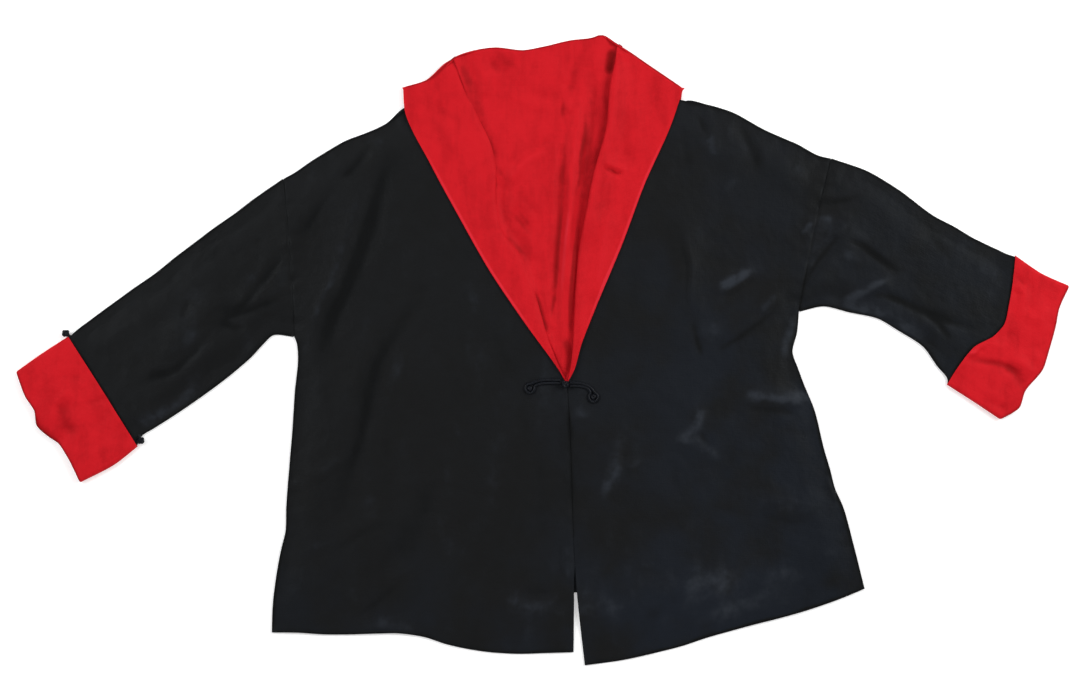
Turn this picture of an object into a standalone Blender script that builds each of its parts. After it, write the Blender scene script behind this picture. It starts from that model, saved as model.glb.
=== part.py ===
"""Silk jacket with a shawl collar, turned-back cuffs and one frog, laid flat with its face up.

Run with: blender --background --python part.py

Sizes are in millimetres in the tables and in metres in the scene. The garment lies on Z = 0,
with +X to the right as it is looked at from above and +Y towards the neck. Left means -X.
Each cloth piece is a grid, laid between four edges, whose height comes from how the layers
lie on each other and from a table of folds. Solidify then makes it a wall.
"""

import math

import bmesh
import bpy
import numpy as np

MM = 0.001

# Cloth, mm
WALL = 1.0  # outer cloth and lining together
GAP = 0.35  # between two layers, or two pieces at a seam
BACK_TOP = WALL + GAP  # underside of what lies on the back
LOFT = 2.6  # air between back and front in the body
EDGE_REACH = 34.0  # from a side seam or shoulder to the full loft
HEM_REACH = 60.0  # from the front hem to the full loft
FOLD_REACH = 14.0  # from an edge to the full height of a fold
ON_FLOOR = 0.05  # underside of a front that lies on the floor
OVERHANG_START = 22.0  # past the back hem, where a front starts to sink to the floor
OVERHANG_END = 52.0

# Sleeve and cuff, mm
LAYER = WALL + GAP + 0.1  # one thickness of cloth and its gap
SEAM_END = 1.0  # gap at the two ends of the armhole, where the sleeve's edge turns
SLEEVE_ROUND = 1.7  # radius of a sleeve's flattened edge
SEAM_ROUND = 1.28  # and where it is sewn to the body
SEAM_RUN = 30.0  # over this length the sleeve's edge grows to its full radius
SLEEVE_SHORT = 5.0  # how far a sleeve ends inside the wrist fold
LIFT_RUN = 22.0  # over this length the sleeve rises on to the cuff's underside
CUFF_DEPTH = 70.0
CUFF_EDGE_TOP = 7.0  # height of the cuff over the floor at its free edge
CUFF_WRIST_TOP = 9.0  # and at the wrist fold
CUFF_RETURN = 11.0  # how far the wrist fold goes back inside

# Collar, mm
V_POINT_Y = -39.0
CORNER = 0.58  # share of a front's rows below the underarm and the V's point
LINING_TOP_Y = 292.0  # back neck seam
COLLAR_CLEAR = 0.9  # leaf over front, with room for facets
LEAF_TOP = 6.4  # height of a leaf over the floor
ROLL_TOP = 9.2  # and of its roll
COLLAR_ROLL = 2.8  # radius of the fold along the roll line
ROLL_SLOPE = 16.0  # from the roll line the leaf sinks over this width
UNDER_LEAF = (1.8, 7.2)  # a front's edge outside the roll line: at the V's point, and above it
UNDER_LEAF_RUN = 80.0  # length over which it changes
LINING_MARGIN = (8.0, 3.0)  # how far the lining runs under the leaves: low in the V, and at the neck
LINING_NARROWS = 150.0  # height where it starts to change
STAND_TOP = 4.0
FOLD_LIP = 2.0  # the top fold's own width, seen from above
FOLD_SECTION = (  # from the fall round the fold: depth inside the top line, share of crest, lift
    (1.1, 0.0, 0.0), (0.3, 0.0, 0.3), (0.0, 0.0, 1.2), (0.0, 1.0, -1.0), (0.4, 1.0, -0.25), (1.6, 1.0, 0.0),
)

# Frog and cuff knots, mm
CORD = 4.0
CORD_SPACE = 0.6  # between the two runs of a doubled cord
CURL_RADIUS = 6.2
CURL_OPENING = 0.12  # radians, on each side of where a curl closes
KNOT = 11.5
CUFF_KNOT = 6.4
CUFF_KNOT_HEIGHT = 3.6

# Grid sizes: rows run from hem to shoulder, or along a sleeve, and columns across
FRONT_GRID = (30, 17)
BACK_GRID = (14, 20)
LINING_GRID = (18, 17)
STAND_GRID = (4, 12)
LEAF_ROWS = 22
LEAF_COLUMNS = 7
CUFF_RINGS = 5
SLEEVE_RINGS = 13
TOP_COLUMNS = 9
UNDER_COLUMNS = 5

# Edges, mm: a row for each point that the outline turns at, (x, y)
SIDE_LEFT = (
    (-301, -314), (-300, -284), (-296, -251), (-290, -219), (-286, -203), (-285, -176),
    (-281, -123), (-278, -94), (-274, -48), (-270, -5), (-272, 8), (-276, 14),
)
SIDE_RIGHT = (
    (356, -265), (344, -216), (332, -173), (323, -154), (312, -113), (299, -64),
    (289, -39), (276, -3), (281, 19), (283, 43),
)
ARMHOLE_LEFT = ((-276, 14), (-280, 100), (-287, 188))
ARMHOLE_RIGHT = ((283, 43), (299, 125), (319, 210))
SHOULDER_LEFT = (
    (-287, 188), (-279, 194), (-255, 208), (-219, 231), (-186, 244), (-174, 246),
    (-154, 265), (-125, 281), (-85, 299),
)
SHOULDER_RIGHT = (
    (319, 210), (307, 213), (280, 227), (245, 243), (209, 264), (180, 271),
    (158, 274), (119, 288), (77, 304),
)
HEM_LEFT = (
    (-301, -314), (-244, -315), (-184, -315), (-162, -314), (-130, -319), (-109, -326),
    (-68, -334), (-27, -336), (34, -335),
)
HEM_RIGHT = (
    (46, -349), (87, -344), (128, -334), (182, -318), (235, -302), (290, -288),
    (331, -275), (356, -265),
)
HEM_BACK = (
    (-301, -314), (-225, -302), (-137, -288), (-48, -277), (38, -270), (130, -268),
    (241, -269), (356, -265),
)
FRONT_EDGE_LEFT = ((34, -335), (34.5, -275), (33.5, -211), (31.5, -145), (29, -78), (26.5, -39))
FRONT_EDGE_RIGHT = ((46, -349), (38, -275), (34, -211), (32, -145), (29.5, -78), (27, -39))
ROLL_LEFT = (
    (24, -31), (16, -14), (4, 18), (-4, 46), (-21, 98), (-47, 135), (-52, 171),
    (-52, 200), (-58, 229), (-72, 258), (-87, 298), (-95, 326),
)
ROLL_RIGHT = (
    (28, -31), (32, -8), (34, 29), (36, 69), (40, 112), (48, 155), (56, 195),
    (70, 246), (75, 298), (80, 320), (82, 339),
)
OUTER_LEFT = (
    (26, -36), (19, -25), (-21, 32), (-56, 86), (-92, 149), (-124, 206), (-154, 269), (-155, 290),
)
OUTER_RIGHT = (
    (27.5, -36), (36, -25), (46, 6), (62, 44), (93, 118), (122, 184), (144, 249), (155, 289),
)
COLLAR_TOP = (
    (-155, 290), (-125, 300), (-95, 326), (-54, 335), (-21, 331), (2, 335), (30, 342),
    (56, 345), (64, 349), (82, 339), (115, 318), (155, 289),
)
CREST_HEIGHTS = (6.0, 7.0, 9.0, 4.2, 4.0, 4.0, 4.0, 4.0, 4.2, 9.0, 7.6, 6.0)  # of COLLAR_TOP's points
FALL_HEM = ((-154, 269), (-110, 262), (-50, 262), (30, 268), (95, 265), (153, 274))
SLEEVE_LEFT_UPPER = (
    (-287, 188), (-321, 164), (-363, 134), (-405, 100), (-453, 64), (-519, 16), (-574, -20),
)
SLEEVE_LEFT_LOWER = (
    (-276, 14), (-300, 16), (-322, -7), (-346, -31), (-376, -53), (-411, -76), (-444, -95),
    (-507, -135),
)
SLEEVE_RIGHT_UPPER = (
    (319, 210), (322, 210), (359, 198), (393, 177), (435, 146), (477, 124), (521, 102), (572, 68),
)
SLEEVE_RIGHT_LOWER = (
    (283, 43), (311, 49), (339, 43), (373, 35), (395, 22), (424, 3), (438, -16), (450, -33),
    (503, -67),
)
CUFF_LEFT_ELBOW = ((-526, 14), (-488, -46), (-450, -106))
CUFF_LEFT_WRIST = (
    (-584, -25), (-572, -53), (-563, -67), (-561, -84), (-537, -102), (-527, -117), (-513, -146),
)
CUFF_RIGHT_ELBOW = (
    (524, 104), (521, 76), (517, 51), (511, 27), (501, 16), (477, 2), (470, -6), (457, -24),
    (448, -39),
)
CUFF_RIGHT_WRIST = (
    (584, 72), (572, 44), (568, 27), (559, -1), (554, -21), (533, -46), (527, -65), (521, -70),
    (507, -77),
)

# Folds of the upper layer: height and half width in mm, then the crest's points
FOLDS = (
    ("left_shoulder_to_underarm", 4.5, 17, ((-195, 230), (-209, 170), (-222, 108), (-244, 49), (-266, -19))),
    ("beside_it", -1.6, 12, ((-176, 234), (-188, 136), (-218, 69), (-240, 11), (-250, -32))),
    ("left_front_drape", 3.2, 20, ((-165, 62), (-186, 0), (-212, -60), (-228, -130), (-240, -190))),
    ("left_front_trough", -1.6, 16, ((-141, 55), (-171, -7), (-194, -56), (-206, -109), (-219, -176))),
    ("left_sleeve_head", 3.5, 13, ((-225, 190), (-252, 165), (-276, 135), (-300, 100))),
    ("left_underarm_pull", 3.5, 11, ((-282, 66), (-312, 60), (-345, 50))),
    ("left_sleeve_drag", 3.4, 15, ((-345, 66), (-392, 28), (-440, -20))),
    ("left_elbow_fold", 2.8, 11, ((-350, 12), (-385, -14), (-425, -42))),
    ("left_hem_roll", 2.5, 18, ((-125, -175), (-180, -196), (-235, -232))),
    ("left_hem_lift", 2.2, 16, ((-120, -240), (-175, -262), (-215, -275))),
    ("right_lapel_drape", 3.6, 16, ((144, 170), (158, 110), (164, 60), (176, 10))),
    ("right_armhole_pull", 4.0, 13, ((183, 2), (215, 28), (252, 52), (280, 78))),
    ("right_chest_crease", 2.6, 11, ((190, 62), (214, 78), (240, 94))),
    ("right_shoulder_crease", 2.8, 12, ((176, 240), (204, 214), (226, 190))),
    ("right_sleeve_head", 3.6, 12, ((262, 215), (272, 190), (292, 176))),
    ("right_underarm_drop", 4.2, 13, ((346, 142), (322, 104), (298, 72), (292, 52))),
    ("right_elbow_top", 3.2, 13, ((322, 140), (360, 112), (392, 96))),
    ("right_elbow_ray", 3.6, 10, ((392, 80), (356, 64), (326, 54))),
    ("right_under_sleeve", 4.2, 13, ((352, 45), (400, 36), (440, 12), (456, 0))),
    ("right_cuff_trough", -1.4, 8, ((366, 60), (418, 46), (463, 29), (490, 22))),
    ("right_waist_star", 3.0, 12, ((178, -84), (157, -102), (196, -124))),
    ("right_waist_fork", 2.8, 11, ((92, -112), (80, -136), (66, -162))),
    ("right_side_band", 3.2, 12, ((222, -54), (256, -52), (288, -56))),
    ("right_hip_roll", 2.8, 18, ((230, -150), (275, -172), (322, -170))),
    ("right_hem_roll", 2.6, 18, ((70, -300), (130, -288), (200, -262), (262, -240))),
)

# Lengthwise folds of the back lining: height, half width, crest
LINING_FOLDS = (
    ("centre_pleat", 3.4, 7, ((26, 270), (29, 180), (30, 90), (28, 30), (20, 0))),
    ("right_pleat", 2.2, 6, ((48, 262), (42, 215), (38, 165), (36, 120))),
    ("left_drape", 1.8, 14, ((-36, 250), (-24, 200), (-6, 130))),
)

# Folds of the cuffs, as FOLDS
CUFF_LEFT_FOLDS = (
    ("wrist_buckle", 1.4, 12, ((-556, -62), (-530, -76), (-500, -96))),
    ("upper_swell", 1.0, 14, ((-560, -18), (-536, -40), (-520, -60))),
)
CUFF_RIGHT_FOLDS = (
    ("upper_swell", 1.2, 13, ((556, 62), (536, 34), (520, 6))),
    ("wrist_buckle", 1.4, 11, ((544, -10), (518, -26), (494, -44))),
)

# Frog and knots: centres, mm
FROG_KNOT = (25.5, -43.0)
FROG_LEFT_CURL = (-17.0, -46.5)
FROG_RIGHT_CURL = (58.5, -52.5)
FROG_LEFT_RISE = 2.4  # how far over the knot's centre each cord leaves it
FROG_RIGHT_RISE = -0.8
CUFF_KNOT_UPPER = (-529.3, 16.1)
CUFF_KNOT_LOWER = (-445.0, -103.6)

# Colour, roughness, sheen of each cloth
BLACK_SATIN = ("black_satin", (0.012, 0.012, 0.014, 1.0), 0.36)
RED_SILK = ("red_silk", (0.60, 0.011, 0.018, 1.0), 0.5)
BLACK_CORD = ("black_cord", (0.010, 0.010, 0.012, 1.0), 0.45)


# ---------------------------------------------------------------- curves and distances
def smooth(value):
    """0 below 0, 1 above 1, with an even start and end."""
    t = np.clip(value, 0.0, 1.0)
    return t * t * (3.0 - 2.0 * t)


def lengths_along(points):
    steps = np.linalg.norm(np.diff(points, axis=0), axis=1)
    return np.concatenate([[0.0], np.cumsum(steps)])


def along(points, share):
    """Points at the given shares of an edge's length, on straight runs between its points."""
    points = np.asarray(points, float)
    run = lengths_along(points)
    at = np.asarray(share) * run[-1]
    return np.stack([np.interp(at, run, points[:, axis]) for axis in range(points.shape[1])], axis=-1)


class Corner(tuple):
    """Two edges that meet at a corner of the panel's outline."""


def along_corner(lower, upper, share):
    """Points along two edges that meet at the share CORNER."""
    below = along(lower, np.minimum(share / CORNER, 1.0))
    above = along(upper, np.maximum((share - CORNER) / (1.0 - CORNER), 0.0))
    return np.where((share <= CORNER)[:, None], below, above)


def run_shares(points, steps):
    """Shares of a line's length at its own points and at even steps on each run between them."""
    run = lengths_along(np.asarray(points, float)) / lengths_along(np.asarray(points, float))[-1]
    return np.interp(np.arange(steps * (len(run) - 1) + 1) / steps, np.arange(len(run)), run)


def distance_to_line(x, y, points):
    """Distance to a line of straight runs, and the share of its length at the nearest point."""
    points = np.asarray(points, float)
    run = lengths_along(points)
    nearest = np.full(np.shape(x), 1e9)
    share = np.zeros(np.shape(x))
    for start, end, before in zip(points[:-1], points[1:], run):
        step = end - start
        size = float(step @ step)
        t = np.clip(((x - start[0]) * step[0] + (y - start[1]) * step[1]) / size, 0.0, 1.0)
        away = np.hypot(x - start[0] - t * step[0], y - start[1] - t * step[1])
        closer = away < nearest
        nearest = np.where(closer, away, nearest)
        share = np.where(closer, (before + t * math.sqrt(size)) / run[-1], share)
    return nearest, share


def fold_relief(x, y, folds):
    """Sum of soft folds, each fading towards both ends of its crest."""
    relief = np.zeros(np.shape(x))
    for _name, height, half_width, crest in folds:
        away, share = distance_to_line(x, y, crest)
        fade = smooth(share / 0.3) * smooth((1.0 - share) / 0.3)
        relief = relief + height * fade * np.exp(-((away / half_width) ** 2))
    return relief


# ---------------------------------------------------------------- heights of the layers, mm
SEAMED_EDGES = (
    SHOULDER_LEFT[::-1] + SLEEVE_LEFT_UPPER[1:],
    SIDE_LEFT[:-1] + SLEEVE_LEFT_LOWER,
    SHOULDER_RIGHT[::-1] + SLEEVE_RIGHT_UPPER[1:],
    SIDE_RIGHT[:-1] + SLEEVE_RIGHT_LOWER,
)


def edge_distance(x, y):
    """Distance to the nearest seamed or folded edge: shoulder and sleeve, or side and sleeve."""
    return np.minimum.reduce([distance_to_line(x, y, edge)[0] for edge in SEAMED_EDGES])


def back_hem_height(x):
    xs, ys = zip(*HEM_BACK)
    return np.interp(x, xs, ys)


def support(x, y):
    """Top of what the front's cloth rests on, with the gap added."""
    past_hem = back_hem_height(x) - y
    on_back = 1.0 - smooth((past_hem - OVERHANG_START) / (OVERHANG_END - OVERHANG_START))
    return ON_FLOOR + (BACK_TOP - ON_FLOOR) * on_back


def front_top(x, y):
    """Outer surface of the upper layer of fronts and sleeves."""
    inside = smooth(edge_distance(x, y) / EDGE_REACH)
    hem_left, _share = distance_to_line(x, y, HEM_LEFT)
    hem_right, _share = distance_to_line(x, y, HEM_RIGHT)
    from_hem = smooth(np.minimum(hem_left, hem_right) / HEM_REACH)
    relief = fold_relief(x, y, FOLDS) * smooth(edge_distance(x, y) / FOLD_REACH)
    air = np.maximum(LOFT * (0.25 + 0.75 * from_hem) * inside + relief, 0.0)
    return support(x, y) + WALL + air


# ---------------------------------------------------------------- materials and objects
def cloth_material(finish):
    name, colour, roughness = finish
    if name in bpy.data.materials:
        return bpy.data.materials[name]
    material = bpy.data.materials.new(name)
    material.use_nodes = True
    shader = material.node_tree.nodes["Principled BSDF"]
    shader.inputs["Base Color"].default_value = colour
    shader.inputs["Roughness"].default_value = roughness
    shader.inputs["Metallic"].default_value = 0.0
    return material


def place(name, mesh, finish):
    """Put a mesh in the jacket's collection as one named piece."""
    piece = bpy.data.objects.new(name, mesh)
    mesh.materials.append(cloth_material(finish))
    mesh.shade_smooth()
    jacket.objects.link(piece)
    return piece


def add_wall(piece, offset):
    wall = piece.modifiers.new("wall", "SOLIDIFY")
    wall.thickness = WALL * MM
    wall.offset = offset
    wall.use_even_offset = False
    return wall


def grid_mesh(name, points, closed=False, flip=False):
    """A mesh through rows of points, (rows, columns, 3) in mm, faces up unless flipped."""
    rows, columns = points.shape[:2]
    shape = bmesh.new()
    verts = [[shape.verts.new(point * MM) for point in row] for row in points]
    across = columns if closed else columns - 1
    for row in range(rows - 1):
        for column in range(across):
            after = (column + 1) % columns
            corners = (
                verts[row][column], verts[row][after], verts[row + 1][after], verts[row + 1][column],
            )
            shape.faces.new(corners[::-1] if flip else corners)
    mesh = bpy.data.meshes.new(name)
    shape.to_mesh(mesh)
    shape.free()
    return mesh


def patch(first, last, start, end, rows, columns):
    """Plan points of a cloth panel between four edges (Coons patch), as shares of their lengths.

    first and last are the first and last rows, start and end the edges that join their ends.
    An edge that turns a corner is a pair of edges, which meet at the share CORNER.
    """
    rows, columns = np.asarray(rows, float), np.asarray(columns, float)
    bottom, top = along(first, columns), along(last, columns)
    left, right = (
        along_corner(*edge, rows) if isinstance(edge, Corner) else along(edge, rows)
        for edge in (start, end)
    )
    v = rows[:, None, None]
    u = columns[None, :, None]
    ruled = (1 - v) * bottom[None] + v * top[None] + (1 - u) * left[:, None] + u * right[:, None]
    corners = np.asarray([(first[0], first[-1]), (last[0], last[-1])], float)
    bottom_run = (1 - u) * corners[0, 0] + u * corners[0, 1]
    top_run = (1 - u) * corners[1, 0] + u * corners[1, 1]
    return ruled - (1 - v) * bottom_run - v * top_run


def corner_rows(count):
    """Even rows below and above the row that joins the underarm to the V's point."""
    below = round(count * CORNER)
    return np.concatenate([np.linspace(0, CORNER, below), np.linspace(CORNER, 1, count - below + 1)[1:]])


def with_height(plan, height):
    x, y = plan[..., 0], plan[..., 1]
    return np.dstack([x, y, np.broadcast_to(height, x.shape)])


# ---------------------------------------------------------------- the body
def make_back():
    neck = tuple((x, y - 2.0 * GAP) for x, y in FALL_HEM)
    top = SHOULDER_LEFT[:-3] + neck + SHOULDER_RIGHT[:-2][::-1]
    rows, columns = BACK_GRID
    plan = patch(
        HEM_BACK, top, Corner((SIDE_LEFT, ARMHOLE_LEFT)), Corner((SIDE_RIGHT, ARMHOLE_RIGHT)),
        corner_rows(rows), np.linspace(0, 1, columns),
    )
    piece = place("back", grid_mesh("back", with_height(plan, 0.0)), BLACK_SATIN)
    add_wall(piece, 1.0)


def make_front(name, side, hem, shoulder, inner, flip):
    """A front from the side seam and armhole to the centre and, under the leaf, the roll line."""
    rows, columns = FRONT_GRID
    plan = patch(hem, shoulder, side, inner, corner_rows(rows), np.linspace(0, 1, columns))
    points = with_height(plan, front_top(plan[..., 0], plan[..., 1]))
    piece = place(name, grid_mesh(name, points, flip=flip), BLACK_SATIN)
    add_wall(piece, -1.0)


def under_leaf(roll, sign):
    """A front's edge under the leaf, a little outside the roll line, and less at the V's point."""
    low, high = UNDER_LEAF
    return tuple(
        (x + sign * (low + (high - low) * smooth((y - V_POINT_Y) / UNDER_LEAF_RUN)), y)
        for x, y in roll
    )


def make_fronts():
    inner = (FRONT_EDGE_LEFT[-1],) + under_leaf(ROLL_LEFT[1:-1], -1.0)
    make_front(
        "front_left", Corner((SIDE_LEFT, ARMHOLE_LEFT)), HEM_LEFT, SHOULDER_LEFT[:-1] + (inner[-1],),
        Corner((FRONT_EDGE_LEFT, inner)), False,
    )
    inner = (FRONT_EDGE_RIGHT[-1],) + under_leaf(ROLL_RIGHT[1:-2], 1.0)
    make_front(
        "front_right", Corner((SIDE_RIGHT, ARMHOLE_RIGHT)), HEM_RIGHT[::-1],
        SHOULDER_RIGHT[:-1] + (inner[-1],), Corner((FRONT_EDGE_RIGHT, inner)), True,
    )


# ---------------------------------------------------------------- sleeves and cuffs
def ring(edges, share, inset, low, high, radius, under_columns=UNDER_COLUMNS):
    """One closed ring of a flattened tube, from its upper edge over the top and back beneath.

    edges are its first and last ring's lines and its upper and lower edges. high is the top's
    height or a function of x and y, low the underside's, and radius rounds the two edges.
    """
    ends = patch(*edges, [share], [0.0, 1.0])[0]
    width = float(np.linalg.norm(ends[1] - ends[0]))
    inner_width = width - 2.0 * inset
    rounding = np.array([0.0, 0.3, 1.0]) * radius
    middle = np.linspace(radius, inner_width - radius, TOP_COLUMNS + 2)[1:-1]
    over = np.concatenate([rounding, middle, inner_width - rounding[::-1]])
    middle = np.linspace(radius, inner_width - radius, under_columns + 2)[1:-1]
    beneath = np.concatenate([rounding[1:], middle, inner_width - rounding[:0:-1]])[::-1]
    ring_points = []
    for away, side in ((over, 1.0), (beneath, -1.0)):
        plan = patch(*edges, [share], (inset + away) / width)[0]
        top = high(plan[:, 0], plan[:, 1]) if callable(high) else np.full(len(away), high)
        depth = np.clip(1.0 - np.minimum(away, inner_width - away) / radius, 0.0, 1.0)
        middle_height = (top + low) / 2.0
        half = (top - low) / 2.0 * np.sqrt(1.0 - depth**2)
        ring_points.append(np.column_stack([plan, middle_height + side * half]))
    return np.concatenate(ring_points)


def line_shares(count, length, last_step):
    """Even shares along a length, with one more just before its end."""
    even = np.linspace(0.0, 1.0 - last_step / length, count)
    return list(even) + [1.0]


def make_sleeve(name, armhole, upper, lower, cuff, flip):
    """A tube from the armhole to just inside the cuff's wrist fold."""
    elbow, wrist = cuff
    seam = tuple(
        (x + (-gap if flip else gap), y) for (x, y), gap in zip(armhole[::-1], (SEAM_END, GAP, SEAM_END))
    )
    outside = (seam, elbow, (seam[0],) + upper[1:-1] + (elbow[0],), (seam[-1],) + lower[1:-1] + (elbow[-1],))
    inside = (elbow, wrist, (elbow[0], wrist[0]), (elbow[-1], wrist[-1]))
    rings = []
    length = lengths_along(np.asarray(outside[2], float))[-1]
    for share in line_shares(SLEEVE_RINGS, length, LIFT_RUN):
        start = smooth(share * length / SEAM_RUN)
        radius = SEAM_ROUND + (SLEEVE_ROUND - SEAM_ROUND) * start
        in_cuff = smooth((share * length - length + LIFT_RUN) / LIFT_RUN)

        def high(x, y, radius=radius, in_cuff=in_cuff):
            free = np.maximum(front_top(x, y), 2.0 * radius)
            return free * (1.0 - in_cuff) + (CUFF_EDGE_TOP - LAYER) * in_cuff

        low = LAYER * in_cuff
        rings.append(ring(outside, share, LAYER * in_cuff, low, high, radius + in_cuff))
    for share in np.linspace(0.0, 1.0, 4)[1:]:
        top = CUFF_EDGE_TOP + (CUFF_WRIST_TOP - CUFF_EDGE_TOP) * share - LAYER
        share_short = share * (1.0 - SLEEVE_SHORT / CUFF_DEPTH)
        rings.append(ring(inside, share_short, LAYER, LAYER, top, (top - LAYER) / 2.0))
    piece = place(name, grid_mesh(name, np.array(rings), closed=True, flip=flip), BLACK_SATIN)
    add_wall(piece, -1.0)


def make_cuff(name, cuff, folds, flip):
    """A turned-back cuff: its outer leaf, the wrist fold and a short return inside the sleeve."""
    elbow, wrist = cuff
    edges = (elbow, wrist, (elbow[0], wrist[0]), (elbow[-1], wrist[-1]))
    fold_radius = (3.0 * WALL + 2.0 * GAP + 0.2) / 2.0
    rings = []

    def outer(share, sink, inset):
        level = CUFF_EDGE_TOP + (CUFF_WRIST_TOP - CUFF_EDGE_TOP) * share

        def high(x, y):
            return level - sink + fold_relief(x, y, folds) * (1.0 - inset / (2.0 * fold_radius))

        rings.append(ring(edges, share, inset, sink, high, level / 2.0 - sink))

    for share in np.linspace(0.0, 1.0 - fold_radius / CUFF_DEPTH, CUFF_RINGS):
        outer(share, 0.0, 0.0)
    for angle in (45.0, 0.0, -45.0, -90.0):
        turn = math.radians(angle)
        sink = fold_radius * (1.0 - math.sin(turn))
        share = 1.0 - fold_radius * (1.0 - math.cos(turn)) / CUFF_DEPTH
        outer(share, sink, sink)
    outer(1.0 - (fold_radius + CUFF_RETURN) / CUFF_DEPTH, 2.0 * fold_radius, 2.0 * fold_radius)
    piece = place(name, grid_mesh(name, np.array(rings), closed=True, flip=flip), RED_SILK)
    add_wall(piece, -1.0)


def make_sleeves_and_cuffs():
    make_sleeve(
        "sleeve_left", ARMHOLE_LEFT, SLEEVE_LEFT_UPPER, SLEEVE_LEFT_LOWER,
        (CUFF_LEFT_ELBOW, CUFF_LEFT_WRIST), True,
    )
    make_sleeve(
        "sleeve_right", ARMHOLE_RIGHT, SLEEVE_RIGHT_UPPER, SLEEVE_RIGHT_LOWER,
        (CUFF_RIGHT_ELBOW, CUFF_RIGHT_WRIST), False,
    )
    make_cuff("cuff_left", (CUFF_LEFT_ELBOW, CUFF_LEFT_WRIST), CUFF_LEFT_FOLDS, True)
    make_cuff("cuff_right", (CUFF_RIGHT_ELBOW, CUFF_RIGHT_WRIST), CUFF_RIGHT_FOLDS, False)


# ---------------------------------------------------------------- neck lining and collar
def make_lining():
    """The back's lining, from the back neck seam down to the V's point, with its loose folds."""

    def margin(y):
        low, high = LINING_MARGIN
        return low + (high - low) * smooth((y - LINING_NARROWS) / UNDER_LEAF_RUN)

    left = [(x - margin(y), y) for x, y in ROLL_LEFT if y < LINING_TOP_Y]
    right = [(x + margin(y), y) for x, y in ROLL_RIGHT if y < LINING_TOP_Y]
    left = [(left[0][0], left[0][1] - 16.0)] + left + [(ROLL_LEFT[-2][0] + 2.0, LINING_TOP_Y)]
    right = [(right[0][0], right[0][1] - 16.0)] + right + [(ROLL_RIGHT[-3][0] + 1.0, LINING_TOP_Y)]
    rows, columns = LINING_GRID
    plan = patch(
        (left[0], right[0]), (left[-1], right[-1]), left, right,
        np.linspace(0, 1, rows), np.linspace(0, 1, columns),
    )
    x, y = plan[..., 0], plan[..., 1]
    points = with_height(plan, BACK_TOP + WALL + fold_relief(x, y, LINING_FOLDS))
    piece = place("back_lining", grid_mesh("back_lining", points), RED_SILK)
    add_wall(piece, -1.0)


def offset_line(points, depth):
    """A line moved sideways, to the right of its direction, at each of its points."""
    points = np.asarray(points, float)
    run = np.diff(points, axis=0)
    run = run / np.linalg.norm(run, axis=1)[:, None]
    mean = np.vstack([run[:1], run[:-1] + run[1:], run[-1:]])
    mean = mean / np.linalg.norm(mean, axis=1)[:, None]
    return points + depth * np.column_stack([mean[:, 1], -mean[:, 0]])


def inside_top(x_from, x_to, room):
    """The collar's top line between two x, moved inside past the lip of its fold."""
    line = offset_line(COLLAR_TOP, FOLD_LIP + GAP + room)
    x = np.concatenate([[x_from], line[(line[:, 0] > x_from) & (line[:, 0] < x_to), 0], [x_to]])
    return np.column_stack([x, np.interp(x, line[:, 0], line[:, 1])])


def make_stand():
    """The part of the collar that stands behind the neck, from the neck seam to the top fold."""
    x_from, x_to = ROLL_LEFT[-2][0] - 1.0, ROLL_RIGHT[-3][0] + 2.0
    bottom = ((x_from + 3.0, LINING_TOP_Y + GAP), (x_to - 1.0, LINING_TOP_Y + GAP))
    top = inside_top(x_from - 2.0, x_to + 1.0, 1.0)
    rows, columns = STAND_GRID
    plan = patch(
        bottom, top, (bottom[0], tuple(top[0])), (bottom[1], tuple(top[-1])),
        np.linspace(0, 1, rows), np.linspace(0, 1, columns),
    )
    piece = place("collar_stand", grid_mesh("collar_stand", with_height(plan, STAND_TOP)), RED_SILK)
    add_wall(piece, -1.0)


def leaf_top(x, y, roll):
    """Outer surface of a collar leaf lying on the front, rising towards its roll."""
    away, _share = distance_to_line(x, y, roll)
    rise = (ROLL_TOP - LEAF_TOP) * np.exp(-((away / ROLL_SLOPE) ** 2))
    return np.maximum(front_top(x, y) + COLLAR_CLEAR + WALL, LEAF_TOP + rise)


def make_leaf(name, roll, outer, flip):
    """One leaf of the shawl collar: its flat fall on the front and the round of its roll."""
    reach = sorted((roll[-1][0], outer[-1][0]))
    top = inside_top(*reach, 1.1)
    top = top if outer[-1][0] < roll[-1][0] else top[::-1]
    outer = outer[:-1] + (tuple(top[0]),)
    roll = roll[:-1] + (tuple(top[-1]),)
    flat_columns = np.linspace(0.0, 1.0, LEAF_COLUMNS)
    plan = patch((outer[0], roll[0]), top, outer, roll, np.linspace(0, 1, LEAF_ROWS), flat_columns)
    section_rows = []
    for row in plan:
        across = row[0] - row[-1]
        width = float(np.linalg.norm(across))
        radius = min(COLLAR_ROLL, max(1.25, (width - 1.0) / 6.0))
        flat = row[0] + (row - row[0]) * (1.0 - radius / width)
        heights = leaf_top(flat[:, 0], flat[:, 1], roll)
        section = [np.array([*point, height]) for point, height in zip(flat, heights)]
        for angle in (45.0, 0.0, -45.0, -90.0):
            turn = math.radians(angle)
            point = row[-1] + across / width * radius * (1.0 - math.cos(turn))
            section.append(np.array([*point, heights[-1] - radius * (1.0 - math.sin(turn))]))
        section_rows.append(section)
    piece = place(name, grid_mesh(name, np.array(section_rows), flip=flip), RED_SILK)
    add_wall(piece, -1.0)


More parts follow.
